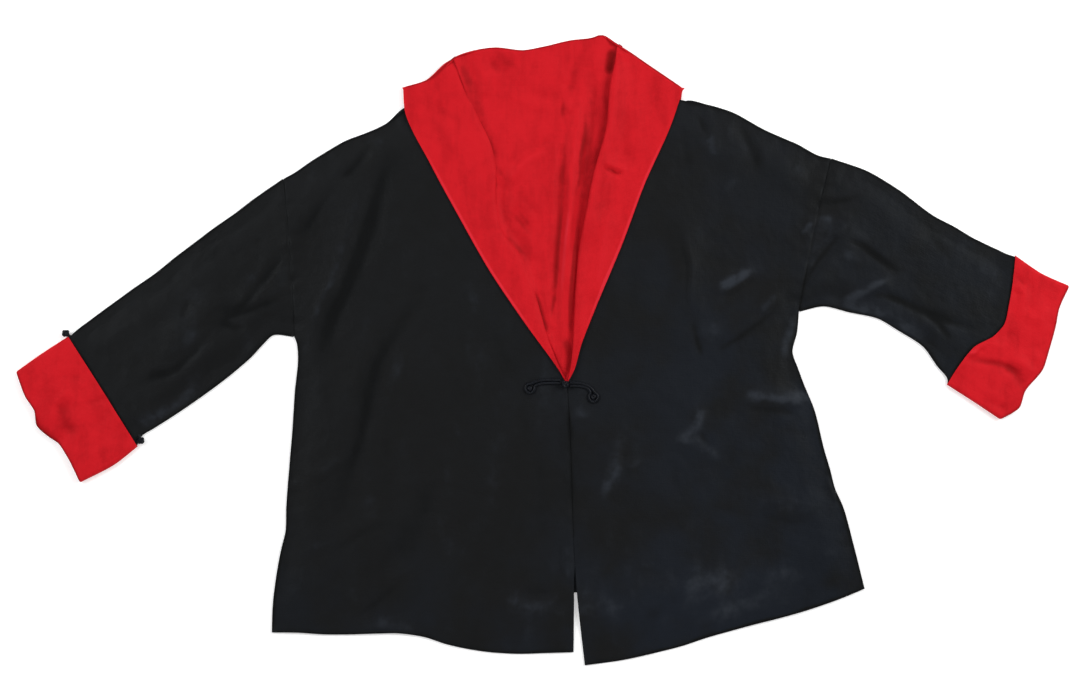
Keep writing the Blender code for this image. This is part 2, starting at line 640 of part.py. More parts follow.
def make_fall():
    """The collar behind the back: a flat leaf whose top edge folds up and over, as a hem does."""
    shares = run_shares(COLLAR_TOP, 2)
    edge = along(COLLAR_TOP, shares)
    hem = along(FALL_HEM, shares)
    crest = np.interp(edge[:, 0], [x for x, _y in COLLAR_TOP], CREST_HEIGHTS)
    rows = [
        np.column_stack([edge + (hem - edge) * share, np.zeros(len(edge))]) for share in (1.0, 0.5, 0.12)
    ]
    for depth, height_share, lift in FOLD_SECTION:
        rows.append(np.column_stack([offset_line(edge, depth), crest * height_share + lift]))
    piece = place("collar_back", grid_mesh("collar_back", np.array(rows), flip=True), RED_SILK)
    add_wall(piece, -1.0)


def make_collar():
    make_leaf("collar_left", ROLL_LEFT, OUTER_LEFT, False)
    make_leaf("collar_right", ROLL_RIGHT, OUTER_RIGHT, True)
    make_stand()
    make_fall()


# ---------------------------------------------------------------- frog and knots
def cord_on_front(name, points):
    """A round cord lying on the fronts along points in mm."""
    curve = bpy.data.curves.new(name, "CURVE")
    curve.dimensions = "3D"
    curve.bevel_depth = CORD / 2.0 * MM
    curve.bevel_resolution = 2
    curve.use_fill_caps = True
    spline = curve.splines.new("POLY")
    spline.points.add(len(points) - 1)
    for target, (x, y) in zip(spline.points, points):
        height = float(front_top(x, y)) + CORD / 2.0 + 2.0 * GAP
        target.co = (x * MM, y * MM, height * MM, 1.0)
    cord = bpy.data.objects.new(name, curve)
    curve.materials.append(cloth_material(BLACK_CORD))
    jacket.objects.link(cord)


def doubled_cord(knot_end, centre, radius, side):
    """A cord that leaves the knot, turns once round the end's curl and comes back beside itself."""
    spread = (CORD + CORD_SPACE) / 2.0
    start = np.array(knot_end)
    centre = np.array(centre)
    toward = math.atan2(*(start - centre)[::-1])
    opening = math.asin(spread / radius) + CURL_OPENING
    turns = np.linspace(toward + side * opening, toward + side * (2.0 * math.pi - opening), 13)
    circle = [centre + radius * np.array([math.cos(turn), math.sin(turn)]) for turn in turns]
    across = np.array([-math.sin(toward), math.cos(toward)]) * spread * side
    return [start + across, (start + across) * 0.5 + circle[0] * 0.5, *circle,
            (start - across) * 0.5 + circle[-1] * 0.5, start - across]


def knot(name, place_xy, diameter, height):
    bpy.ops.mesh.primitive_uv_sphere_add(segments=14, ring_count=9, radius=diameter / 2.0 * MM)
    ball = bpy.context.object
    ball.name = name
    ball.data.name = name
    ball.location = (place_xy[0] * MM, place_xy[1] * MM, height * MM)
    ball.data.materials.append(cloth_material(BLACK_CORD))
    ball.data.shade_smooth()
    for owner in list(ball.users_collection):
        owner.objects.unlink(ball)
    jacket.objects.link(ball)


def make_frog():
    x, y = FROG_KNOT
    knot("frog_button", FROG_KNOT, KNOT, float(front_top(x, y)) + KNOT / 2.0 + 2.0 * GAP)
    reach = KNOT / 2.0 + GAP
    for name, side, rise, curl in (
        ("frog_left", -1.0, FROG_LEFT_RISE, FROG_LEFT_CURL),
        ("frog_right", 1.0, FROG_RIGHT_RISE, FROG_RIGHT_CURL),
    ):
        cord_on_front(name, doubled_cord((x + side * reach, y + rise), curl, CURL_RADIUS, side))
    knot("cuff_knot_upper", CUFF_KNOT_UPPER, CUFF_KNOT, CUFF_KNOT_HEIGHT)
    knot("cuff_knot_lower", CUFF_KNOT_LOWER, CUFF_KNOT, CUFF_KNOT_HEIGHT)


def start_scene():
    for item in list(bpy.data.objects):
        bpy.data.objects.remove(item, do_unlink=True)
    collection = bpy.data.collections.new("tang_jacket")
    bpy.context.scene.collection.children.link(collection)
    return collection


jacket = start_scene()
make_back()
make_fronts()
make_sleeves_and_cuffs()
make_lining()
make_collar()
make_frog()
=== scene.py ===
"""Silk jacket with a shawl collar, turned-back cuffs and one frog, laid flat: its looks.

Run with: blender --background --python scene.py

Tables are in millimetres and the scene is in metres. The jacket lies on Z = 0 with its face up,
+X to the right as it is looked at from above and +Y towards the neck. Left means -X. Every
cloth piece is a fine grid laid between the edges of its cut, which keep close to those of its
solid in the frame, at the heights that the layers and the creases give it. Solidify makes it a
wall. Each fold and crease is a row in a table, with a name that says where it lies.
"""

import math

import bpy
import numpy as np
from bpy.props import FloatProperty, FloatVectorProperty, PointerProperty
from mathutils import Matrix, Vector, noise


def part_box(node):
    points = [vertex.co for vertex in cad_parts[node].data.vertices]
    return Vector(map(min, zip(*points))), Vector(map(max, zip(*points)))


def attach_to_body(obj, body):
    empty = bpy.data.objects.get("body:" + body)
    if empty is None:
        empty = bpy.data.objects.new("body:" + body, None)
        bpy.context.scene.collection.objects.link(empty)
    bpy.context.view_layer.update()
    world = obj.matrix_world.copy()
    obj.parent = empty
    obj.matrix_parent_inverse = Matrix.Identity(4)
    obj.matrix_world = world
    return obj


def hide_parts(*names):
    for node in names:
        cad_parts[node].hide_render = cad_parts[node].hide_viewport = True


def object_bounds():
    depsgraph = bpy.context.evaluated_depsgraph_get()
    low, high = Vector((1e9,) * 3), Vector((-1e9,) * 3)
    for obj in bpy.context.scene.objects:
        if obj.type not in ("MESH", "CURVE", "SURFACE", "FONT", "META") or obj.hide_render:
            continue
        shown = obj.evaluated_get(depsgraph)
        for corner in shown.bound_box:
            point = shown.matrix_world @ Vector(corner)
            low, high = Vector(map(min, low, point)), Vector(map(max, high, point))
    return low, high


bl_info = {
    "name": "Silk jacket, laid flat",
    "version": (1, 0, 0),
    "blender": (4, 5, 0),
    "location": "3D View > Sidebar > Jacket",
    "description": "Builds a lined silk jacket with a shawl collar around its packed solids",
    "category": "Add Mesh",
}

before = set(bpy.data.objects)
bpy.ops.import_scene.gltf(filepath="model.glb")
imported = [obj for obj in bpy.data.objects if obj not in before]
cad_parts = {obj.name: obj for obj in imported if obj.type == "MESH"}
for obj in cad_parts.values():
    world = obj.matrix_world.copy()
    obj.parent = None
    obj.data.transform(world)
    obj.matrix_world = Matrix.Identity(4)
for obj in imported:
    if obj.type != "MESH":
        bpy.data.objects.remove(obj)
CAD_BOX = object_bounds()
MM = 0.001


def moved(points, right, up):
    """A line's points, each moved by the same amount."""
    return tuple((x + right, y + up) for x, y in points)


# ------------ cut, mm
# Edges: (x, y) of each point where the outline turns
SIDE_LEFT = (
    (-301, -314), (-300, -284), (-296, -251), (-290, -219), (-286, -203), (-285, -176),
    (-281, -123), (-278.5, -94), (-275.5, -48), (-272, -5), (-273.5, 8), (-276, 14),
)
SIDE_RIGHT = (
    (357, -265.5), (344.6, -216), (332.6, -173), (324, -153.5), (319, -134), (312.7, -113),
    (300.3, -64), (289.8, -39), (283.5, -22), (277, -3), (282, 19), (284, 42),
)
ARMHOLE_LEFT = ((-276, 14), (-280, 100), (-288, 189.3))
ARMHOLE_RIGHT = ((284, 42), (299, 125), (319.5, 212))
SHOULDER_LEFT = (
    (-288, 189.3), (-276, 196), (-256, 209.8), (-243, 217.8), (-219.4, 231.5), (-196, 240.5),
    (-184.5, 245.3), (-174.7, 250.3), (-154, 265), (-125, 281), (-85, 299),
)
SHOULDER_RIGHT = (
    (319.5, 212), (307.6, 214.6), (280.8, 228.6), (268, 234), (245.5, 244), (209, 263.8), (182, 272),
    (158, 276), (119, 288), (77, 304),
)
HEM_LEFT = (
    (-301, -314.8), (-272, -315), (-244, -316.8), (-214, -316.8), (-184, -315.8), (-162, -315.4),
    (-130, -320), (-109, -327), (-68, -335.2), (-27, -338), (4, -337), (34, -336),
)
HEM_RIGHT = (
    (46.4, -350.6), (87, -345), (128, -336), (155, -329), (182, -320), (208, -312.6), (235, -305.2),
    (262, -298.4), (290, -290.5), (331, -276.3), (357, -265.5),
)
HEM_BACK = (
    (-301, -314.8), (-225, -302), (-137, -288), (-48, -277), (38, -270), (130, -268),
    (241, -269), (357, -265.5),
)
FRONT_EDGE_LEFT = ((34, -336), (34.5, -275), (33.5, -211), (31.5, -145), (29, -78), (26.5, -39))
FRONT_EDGE_RIGHT = ((46.4, -350.6), (38, -275), (34, -211), (32, -145), (29.5, -78), (27, -39))
ROLL_LEFT = (
    (24, -31), (16, -14), (4, 18), (-4, 46), (-21, 98), (-47, 135), (-52, 171),
    (-52, 200), (-58, 229), (-72, 258), (-87, 298), (-95, 326),
)
ROLL_RIGHT = (
    (28, -31), (32, -8), (34, 29), (36, 69), (40, 112), (48, 155), (56, 195),
    (70, 246), (75, 298), (80, 320), (82, 339),
)
OUTER_LEFT = (
    (26, -36), (19, -25), (-22, 32), (-58.4, 86), (-94.2, 149), (-125, 206), (-154, 269), (-155, 290),
)
OUTER_RIGHT = (
    (27.5, -36), (33.6, -25), (42.8, 6), (57.6, 44), (88.4, 118), (113, 184), (142, 249), (155, 289),
)
COLLAR_TOP = (
    (-155, 291), (-125, 300.4), (-95, 326), (-54, 335.4), (-21, 332.4), (2, 336.6), (30, 343.2),
    (56, 346.6), (64, 349.4), (82, 339.6), (115, 317.4), (155, 290.2),
)
CREST_HEIGHTS = (6.0, 7.0, 9.0, 4.2, 4.0, 4.0, 4.0, 4.0, 4.2, 9.0, 7.6, 6.0)  # of COLLAR_TOP's points
FALL_HEM = ((-154, 269), (-110, 262), (-50, 262), (30, 268), (95, 265), (153, 274))
SLEEVE_LEFT_UPPER = (
    (-288, 189.3), (-322.4, 166), (-342, 151), (-364.2, 135.6), (-385.5, 119.5), (-407.4, 103),
    (-431, 84), (-455.3, 67.2), (-474, 53.6), (-493, 39.8), (-508, 28.6), (-521, 19.4), (-575, -18.5),
)
SLEEVE_LEFT_LOWER = (
    (-276, 14), (-300, 15.4), (-310.5, 5.6), (-322.3, -7.2), (-347.6, -29.2), (-377.2, -51.4),
    (-411.8, -75), (-433, -88.4), (-444.4, -95.6), (-507, -135),
)
SLEEVE_RIGHT_UPPER = (
    (319.5, 212), (324, 210.8), (359.3, 198.4), (393.6, 178.1), (435.6, 147.2), (456, 136.6), (477, 124),
    (490, 117.6), (502, 112), (514, 107), (572, 68),
)
SLEEVE_RIGHT_LOWER = (
    (284, 42), (311, 47.8), (339, 41.4), (373, 33.6), (394.2, 21), (423, 1.8), (436.4, -17.2),
    (448.2, -34.4), (503, -67),
)
CUFF_LEFT_ELBOW = ((-526.6, 14.6), (-488, -46), (-449.6, -107.6))
CUFF_LEFT_SIDES = (-555.4, -4.0), (-474.4, -127.2)  # halfway along the cuff's two sides
CUFF_LEFT_WRIST = (
    (-584.4, -24.6), (-573.4, -53.6), (-564.2, -67.8), (-561.4, -84.4), (-547, -97.6), (-538.2, -103.4),
    (-528.2, -117.8), (-513.4, -147.6),
)
CUFF_RIGHT_ELBOW = (
    (524, 104.4), (521, 76), (517, 51), (511, 27), (501, 16), (477, 2), (470, -6), (457, -24),
    (448, -39),
)
CUFF_RIGHT_WRIST = (
    (583.8, 70.6), (572, 44), (568.8, 27), (561, -1.6), (554.8, -21.2), (534.4, -47), (527.6, -65.4),
    (521, -70.2), (507, -77.6),
)
CUFF_RIGHT_SIDES = (552.8, 84.6), (477.6, -58.0)
CUFF_LEFT = (CUFF_LEFT_ELBOW, CUFF_LEFT_WRIST, CUFF_LEFT_SIDES)
CUFF_RIGHT = (CUFF_RIGHT_ELBOW, CUFF_RIGHT_WRIST, CUFF_RIGHT_SIDES)

# ------------ folds and creases, mm
# Large folds of the upper layer: height, half width, then the crest's points
FOLDS = (
    ("left_shoulder_to_underarm", 4.5, 17, (
        (-195, 230), (-209, 170), (-222, 108), (-244, 49), (-266, -19),
    )),
    ("beside_it", -1.6, 12, ((-176, 234), (-188, 136), (-218, 69), (-240, 11), (-250, -32))),
    ("left_front_drape", 3.2, 20, ((-165, 62), (-186, 0), (-212, -60), (-228, -130), (-240, -190))),
    ("left_front_trough", -1.6, 16, ((-141, 55), (-171, -7), (-194, -56), (-206, -109), (-219, -176))),
    ("left_sleeve_head", 3.5, 13, ((-225, 190), (-252, 165), (-276, 135), (-300, 100))),
    ("left_underarm_pull", 3.5, 11, ((-282, 66), (-312, 60), (-345, 50))),
    ("left_sleeve_drag", 3.4, 15, ((-345, 66), (-392, 28), (-440, -20))),
    ("left_elbow_fold", 2.8, 11, ((-350, 12), (-385, -14), (-425, -42))),
    ("left_hem_roll", 2.5, 18, ((-125, -175), (-180, -196), (-235, -232))),
    ("left_hem_lift", 2.2, 16, ((-120, -240), (-175, -262), (-215, -275))),
    ("right_lapel_drape", 3.6, 16, ((144, 170), (158, 110), (164, 60), (176, 10))),
    ("right_armhole_pull", 4.0, 13, ((183, 2), (215, 28), (252, 52), (280, 78))),
    ("right_chest_crease", 2.6, 11, ((190, 62), (214, 78), (240, 94))),
    ("right_shoulder_crease", 2.8, 12, ((176, 240), (204, 214), (226, 190))),
    ("right_sleeve_head", 3.6, 12, ((262, 215), (272, 190), (292, 176))),
    ("right_underarm_drop", 4.2, 13, ((346, 142), (322, 104), (298, 72), (292, 52))),
    ("right_elbow_top", 3.2, 13, ((322, 140), (360, 112), (392, 96))),
    ("right_elbow_ray", 3.6, 10, ((392, 80), (356, 64), (326, 54))),
    ("right_under_sleeve", 4.2, 13, ((352, 45), (400, 36), (440, 12), (456, 0))),
    ("right_cuff_trough", -1.4, 8, ((366, 60), (418, 46), (463, 29), (490, 22))),
    ("right_waist_star", 3.0, 12, ((178, -84), (157, -102), (196, -124))),
    ("right_waist_fork", 2.8, 11, ((92, -112), (80, -136), (66, -162))),
    ("right_side_band", 3.2, 12, ((222, -54), (256, -52), (288, -56))),
    ("right_hip_roll", 2.8, 18, ((230, -150), (275, -172), (322, -170))),
    ("right_hem_roll", 2.6, 18, ((70, -300), (130, -288), (200, -262), (262, -240))),
)

# Lengthwise folds of the lining in the neck, as FOLDS
LINING_FOLDS = (
    ("centre_pleat", 3.4, 7, ((26, 270), (29, 180), (30, 90), (28, 30), (20, 0))),
    ("right_pleat", 2.2, 6, ((48, 262), (42, 215), (38, 165), (36, 120))),
    ("left_drape", 1.8, 14, ((-36, 250), (-24, 200), (-6, 130))),
)

# Folds of the cuffs, as FOLDS
CUFF_LEFT_FOLDS = (
    ("wrist_buckle", 1.4, 12, ((-556, -62), (-530, -76), (-500, -96))),
    ("upper_swell", 1.0, 14, ((-560, -18), (-536, -40), (-520, -60))),
)
CUFF_RIGHT_FOLDS = (
    ("upper_swell", 1.2, 13, ((556, 62), (536, 34), (520, 6))),
    ("wrist_buckle", 1.4, 11, ((544, -10), (518, -26), (494, -44))),
)

# Frog: centres of its knot and its curls
FROG_KNOT = (24.6, -38.6)
FROG_LEFT_CURL = (-14.5, -43.0)
FROG_RIGHT_CURL = (56.0, -52.8)
FROG_LEFT_BEND = (-6.0, -34.0)  # where each half bends on its way to the curl
FROG_RIGHT_BEND = (53.0, -37.5)
FROG_LEFT_RISE = 3.0  # how far over the knot's centre each cord leaves it
FROG_RIGHT_RISE = 0.2
CUFF_KNOTS = (  # piece, its solid, shift from the solid's middle, points of its stem
    ("upper_cuff_knot", "cuff_knot_upper", (0.0, 1.8), (
        (-527.0, 16.4, 3.6), (-524.5, 14.2, 3.6), (-522.0, 12.4, 3.4),
    )),
    ("lower_cuff_knot", "cuff_knot_lower", (-1.2, 2.6), (
        (-447.2, -99.0, 3.6), (-447.6, -97.0, 3.4), (-448.0, -94.0, 3.2),
    )),
)
# Finer creases of the fronts and sleeves, as FOLDS; a trough has a negative height. They also paint
# highlight on a crest and shade in a trough.
CREASES = (
    ("left_drape_ridge", 0.6, 6, (
        (-196, 214), (-204, 176), (-214, 136), (-228, 92), (-246, 50), (-258, 14), (-264, -20),
    )),
    ("left_underarm_light", 0.6, 4, ((-222, 98), (-232, 80), (-243, 62), (-252, 42), (-258, 26))),
    ("left_drape_groove", -2.4, 10.5, (
        (-152, 238), (-168, 208), (-183, 176), (-195, 130), (-219, 68), (-238, 24), (-246, -12),
        (-250, -44),
    )),
    ("left_shoulder_streak", -1.6, 5, ((-182, 232), (-200, 214), (-214, 198), (-232, 186))),
    ("left_shoulder_light", 0.7, 7, ((-174, 240), (-188, 226), (-204, 218))),
    ("left_head_streak", -1.2, 5, ((-226, 184), (-246, 160), (-262, 136), (-276, 120))),
    ("left_long_groove", -1.9, 9, (
        (-124, 84), (-136, 62), (-152, 36), (-172, 6), (-188, -28), (-197, -70), (-206, -110),
        (-222, -150), (-230, -196),
    )),
    ("left_long_bank", 0.35, 8, ((-136, 20), (-160, -20), (-176, -66), (-188, -116))),
    ("left_tick", 0.9, 6, ((-250, -144), (-236, -130), (-217, -113))),
    ("left_tick_shade", -0.9, 4, ((-252, -154), (-238, -140), (-220, -124))),
    ("left_hip_tick", 0.7, 7, ((-264, -222), (-240, -214), (-220, -220))),
    ("left_hip_shade", -1.1, 6, ((-246, -232), (-216, -214), (-186, -196), (-160, -190))),
    ("left_belly_shade", -0.8, 12, ((-190, -250), (-150, -210), (-128, -160), (-120, -110))),
    ("left_hem_tick", 1.1, 9, ((-206, -310), (-184, -304), (-168, -306), (-148, -311), (-130, -316))),
    ("left_hem_shade", -1.0, 5, ((-214, -300), (-192, -286), (-170, -268), (-150, -248))),
    ("left_hem_corner", 0.8, 9, ((-284, -292), (-276, -262), (-270, -232))),
    ("left_slit_gleam", 1.1, 12, ((-52, -280), (-24, -284), (4, -284), (32, -286))),
    ("left_slit_shade", -0.8, 6, ((-30, -266), (-4, -270), (20, -266))),
    ("left_edge_ridge", 0.8, 3.5, ((28, -215), (26, -236), (30, -258))),
    ("left_edge_groove", -1.0, 3.5, ((20, -210), (19, -234), (22, -258))),
    ("left_centre", -0.8, 9, ((0, -92), (-6, -140), (-4, -190), (4, -232))),
    ("left_belly_cast", 0.4, 42, ((-70, 60), (-44, -40), (-36, -150), (-60, -230))),
    ("left_lapel_soft", -0.7, 9, ((-70, 40), (-40, -10), (-24, -60), (-22, -120))),
    ("right_shoulder_fold", -1.5, 4.5, ((172, 262), (178, 246), (186, 232))),
    ("right_shoulder_light", 1.1, 8, ((178, 248), (184, 234), (192, 220), (196, 210))),
    ("right_shoulder_dark", -1.7, 7, ((214, 252), (226, 234), (236, 212), (239, 192))),
    ("right_shoulder_ridge", 0.8, 7, ((196, 256), (208, 240), (218, 220), (222, 202))),
    ("right_neck_fan", -0.8, 5, ((150, 252), (158, 220), (162, 190))),
    ("right_chest_tick", 1.1, 6.5, ((194, 174), (206, 181), (220, 190))),
    ("right_chest_streak", 2.6, 6, ((190, 64), (202, 71), (218, 80), (234, 92))),
    ("right_streak_shade", -1.2, 4, ((190, 54), (208, 62), (228, 74), (242, 84))),
    ("right_lapel_line", 0.9, 3, ((153, 146), (160, 118), (166, 93), (164, 60), (168, 40))),
    ("right_lapel_line_shade", -1.0, 3, ((148, 140), (155, 112), (160, 88), (159, 56), (163, 34))),
    ("right_v_dark", -1.6, 4.5, ((166, 34), (172, 8), (178, -12))),
    ("right_v_light", 0.8, 11, ((168, 30), (184, 18), (204, 21))),
    ("right_v_line", -1.6, 4, ((184, -6), (206, 6), (228, 20), (250, 38), (266, 58))),
    ("right_v_upper", 1.1, 4.5, ((238, 40), (249, 50), (262, 66))),
    ("right_band_light", 2.4, 7.5, ((206, -48), (232, -52), (262, -54), (292, -54), (330, -56))),
    ("right_band_dark", -1.2, 5, ((220, -66), (250, -66), (288, -72))),
    ("right_star_drop", 2.1, 6, ((180, -62), (173, -78), (162, -93), (146, -104))),
    ("right_star_ray", 1.9, 6, ((142, -98), (162, -102), (180, -111), (204, -126))),
    ("right_star_dark", -1.4, 5, ((176, -88), (178, -100), (188, -110))),
    ("right_star_low", 1.0, 4.5, ((136, -118), (150, -124), (162, -138))),
    ("right_fork", 1.15, 6.5, ((88, -90), (82, -112), (77, -134), (70, -154), (62, -176))),
    ("right_fork_branch", 1.35, 5.5, ((70, -142), (84, -133), (98, -128), (114, -120))),
    ("right_fork_shade", -1.0, 5, ((94, -108), (90, -122), (96, -146))),
    ("right_hip_light", 1.0, 12, ((214, -158), (246, -168), (286, -176), (322, -168))),
    ("right_hip_shade", -1.0, 6, ((236, -180), (264, -188), (300, -192))),
    ("right_hip_edge", 1.3, 4, ((312, -140), (320, -152), (326, -168))),
    ("right_side_low", 1.0, 4, ((308, -224), (316, -228), (326, -226))),
    ("right_underarm_edge", 1.6, 7, ((283, 46), (276, 26), (270, 6), (264, -16))),
    ("right_star_body", 0.9, 18, ((284, 134), (310, 130), (338, 132))),
    ("right_hem_gleam", 1.1, 12, ((28, -286), (52, -284), (72, -284), (96, -289))),
    ("right_hem_mid", 0.9, 13, ((150, -250), (176, -258), (200, -256), (224, -250))),
    ("right_hem_low", 1.1, 10, ((160, -300), (198, -293), (226, -283), (266, -272))),
    ("right_hem_shade", -1.0, 8, ((112, -300), (138, -282), (158, -268))),
    ("right_hem_outer", 1.0, 7, ((250, -252), (276, -250), (304, -256))),
    ("right_hem_cast", 0.8, 26, ((50, -272), (130, -262), (200, -258), (300, -262))),
    ("front_edge_shade", -1.0, 13, ((36, -66), (31, -100), (31, -130), (34, -190))),
    ("right_frog_light", 0.7, 5, ((34, -62), (46, -72), (58, -70))),
    ("right_frog_shade", -1.0, 5, ((24, -60), (28, -82), (34, -104))),
    ("left_sleeve_curve", -1.8, 4.5, (
        (-280, 115), (-290, 102), (-304, 84), (-320, 64), (-333, 48), (-346, 43), (-370, 40),
    )),
    ("left_sleeve_curve_light", 0.35, 6, ((-300, 112), (-312, 94), (-326, 76), (-342, 60))),
    ("left_sleeve_hook", -1.8, 4.5, ((-281, 59), (-305, 51), (-325, 43), (-352, 33), (-331, 23))),
    ("left_sleeve_foot", -1.5, 4, ((-364, 28), (-352, 26), (-338, 22), (-328, 22))),
    ("left_sleeve_drag", -1.8, 5, (
        (-366, 16), (-376, 8), (-394, -10), (-412, -25), (-434, -31), (-444, -50),
    )),
    ("left_sleeve_drag_light", 0.4, 7, ((-370, 28), (-390, 14), (-410, 0), (-430, -14))),
    ("left_sleeve_short", -1.4, 4, ((-391, 56), (-396, 46), (-400, 34))),
    ("left_sleeve_blue", 0.2, 14, ((-352, 66), (-372, 60), (-392, 48), (-408, 28))),
    ("left_sleeve_edge", 1.6, 13, ((-462, -90), (-436, -76), (-410, -60), (-386, -44), (-362, -26))),
    ("left_sleeve_edge_shade", -1.0, 6, ((-440, -66), (-414, -54), (-388, -30))),
    ("left_sleeve_upper_shade", -0.8, 7, ((-340, 126), (-372, 100), (-396, 74))),
    ("right_sleeve_fall", -2.0, 4.5, ((341, 142), (324, 122), (310, 105), (295, 82), (284, 56))),
    ("right_sleeve_ray", -1.8, 4.5, (
        (326, 121), (340, 120), (354, 115), (367, 105), (379, 96), (392, 86), (402, 79),
    )),
    ("right_sleeve_under_ray", 0.9, 6, ((330, 110), (350, 98), (368, 88))),
    ("right_sleeve_light", 3.2, 4.2, ((390, 81), (368, 71), (352, 62), (330, 53))),
    ("right_sleeve_light_shade", -1.9, 5, (
        (350, 56), (373, 60), (391, 56), (413, 45), (436, 37), (454, 30), (472, 24), (488, 20),
    )),
    ("right_sleeve_belly", 2.3, 9, (
        (300, 52), (330, 50), (356, 44), (376, 40), (396, 27), (414, 13), (432, -1),
    )),
    ("right_sleeve_low", -1.4, 4, ((420, 43), (437, 30), (448, 16), (456, 6))),
    ("right_star_left", 1.8, 2.8, ((286, 126), (292, 134), (298, 142))),
    ("right_star_mid", 1.2, 3.2, ((302, 143), (312, 145), (322, 144))),
    ("right_star_right", 1.5, 3.4, ((322, 124), (331, 133), (338, 143))),
    ("right_star_shade", -1.1, 4, ((296, 128), (308, 126), (320, 130))),
    ("right_head_tick", 1.0, 8, ((276, 206), (284, 198), (292, 190))),
    ("right_head_line", -1.4, 4, ((290, 160), (314, 162), (339, 166), (356, 172))),
    ("right_head_outer", 1.0, 5, ((318, 204), (326, 192), (322, 180))),
    ("right_wrist_light", 0.8, 11, ((448, 116), (466, 108), (482, 98), (494, 82), (498, 66))),
    ("right_sleeve_top", 0.35, 12, ((352, 176), (380, 166), (404, 148))),
    ("right_sleeve_top_shade", -0.9, 6, ((424, 128), (444, 112), (462, 92))),
)

# Seams that only the shade follows, as FOLDS
SEAM_SHADES = (
    ("left_armhole", -1.4, 2.0, ARMHOLE_LEFT),
    ("right_armhole", -1.5, 2.0, ARMHOLE_RIGHT),
    ("front_edge", -1.4, 1.8, FRONT_EDGE_RIGHT[2:]),
    ("collar_top", -3.4, 1.6, COLLAR_TOP),
)

# Outer edges of the satin, where it turns down and away, that only the shade follows, as FOLDS
SATIN_EDGES = (
    *(("edge", -3.2, 2.8, line) for line in (
        SIDE_LEFT, SIDE_RIGHT, SHOULDER_LEFT, SHOULDER_RIGHT, HEM_LEFT, HEM_RIGHT,
        SLEEVE_LEFT_UPPER, SLEEVE_LEFT_LOWER, SLEEVE_RIGHT_UPPER, SLEEVE_RIGHT_LOWER,
    )),
    ("left_cuff_line", -2.2, 2.6, CUFF_LEFT_ELBOW),
    ("right_cuff_line", -2.2, 2.6, CUFF_RIGHT_ELBOW),
)

# Creases of the lining in the neck, as FOLDS, which also paint highlight and shade
LINING_CREASES = (
    ("centre_ridge", 1.9, 5, (
        (40, 286), (38, 262), (33, 205), (31, 164), (27, 124), (24, 84), (21, 30), (19, 0),
    )),
    ("centre_groove", -1.9, 5, ((26, 250), (21, 215), (20, 177), (17, 137), (15, 97), (12, 56), (8, 16))),
    ("beside_centre", 1.0, 4, ((12, 230), (10, 190), (10, 150), (7, 110))),
    ("right_hollow", -0.9, 8, ((58, 320), (55, 285), (51, 235), (46, 190), (40, 150))),
    ("right_deep", -0.35, 14, ((62, 318), (60, 288), (56, 250), (52, 214), (48, 190))),
    ("roll_groove", -1.1, 5, ((60, 300), (56, 250), (50, 215), (44, 180), (38, 140), (34, 100))),
    ("top_curl", 1.6, 4, ((28, 292), (26, 276), (33, 262))),
    ("top_curl_shade", -1.0, 4, ((25, 300), (27, 284), (22, 270), (26, 254))),
    ("left_slant", 1.5, 6, ((-38, 186), (-22, 204), (-4, 222))),
    ("left_slant_low", -0.8, 5, ((-34, 152), (-20, 138), (-6, 122))),
    ("left_slant_third", -0.9, 4, ((-56, 190), (-46, 180), (-34, 172))),
    ("left_low_groove", -1.6, 5, ((-8, 64), (-2, 40), (6, 16))),
    ("left_low_ridge", 1.2, 4, ((2, 70), (6, 44), (12, 20))),
    ("left_long", 1.4, 9, ((-46, 262), (-40, 226), (-36, 186), (-28, 150))),
    ("left_roll_hollow", -1.1, 9, ((-84, 318), (-80, 290), (-70, 262), (-60, 236), (-48, 206))),
    ("left_roll_low", -1.5, 8, ((-48, 190), (-42, 150), (-26, 118), (-8, 84))),
    ("left_peak_crease", -1.5, 5, ((-62, 322), (-50, 312), (-36, 304))),
    ("left_peak_ridge", 1.3, 6, ((-72, 322), (-66, 300), (-62, 280))),
    ("left_peak_dark", -0.4, 7, ((-78, 306), (-66, 290), (-62, 270))),
    ("upper_slant", -0.8, 5, ((-40, 300), (-14, 284), (6, 280), (20, 284))),
    ("upper_slant_light", 0.8, 6, ((-44, 290), (-16, 272), (8, 268))),
    ("mid_slant", -0.7, 4, ((-36, 206), (-22, 218), (-6, 226), (10, 232))),
    ("mid_slant_light", 0.8, 5, ((-34, 198), (-16, 212), (4, 220))),
    ("low_slant", -0.8, 4, ((-34, 176), (-18, 164), (-4, 146))),
    ("low_slant_light", 0.8, 5, ((-30, 140), (-16, 122), (-6, 100))),
    ("left_low_light", 0.9, 5, ((-40, 108), (-26, 86), (-14, 62))),
    ("low_mid_light", 0.8, 4, ((0, 120), (4, 92), (6, 60))),
    ("stand_swell", 1.2, 16, ((-30, 312), (0, 300), (24, 312))),
)
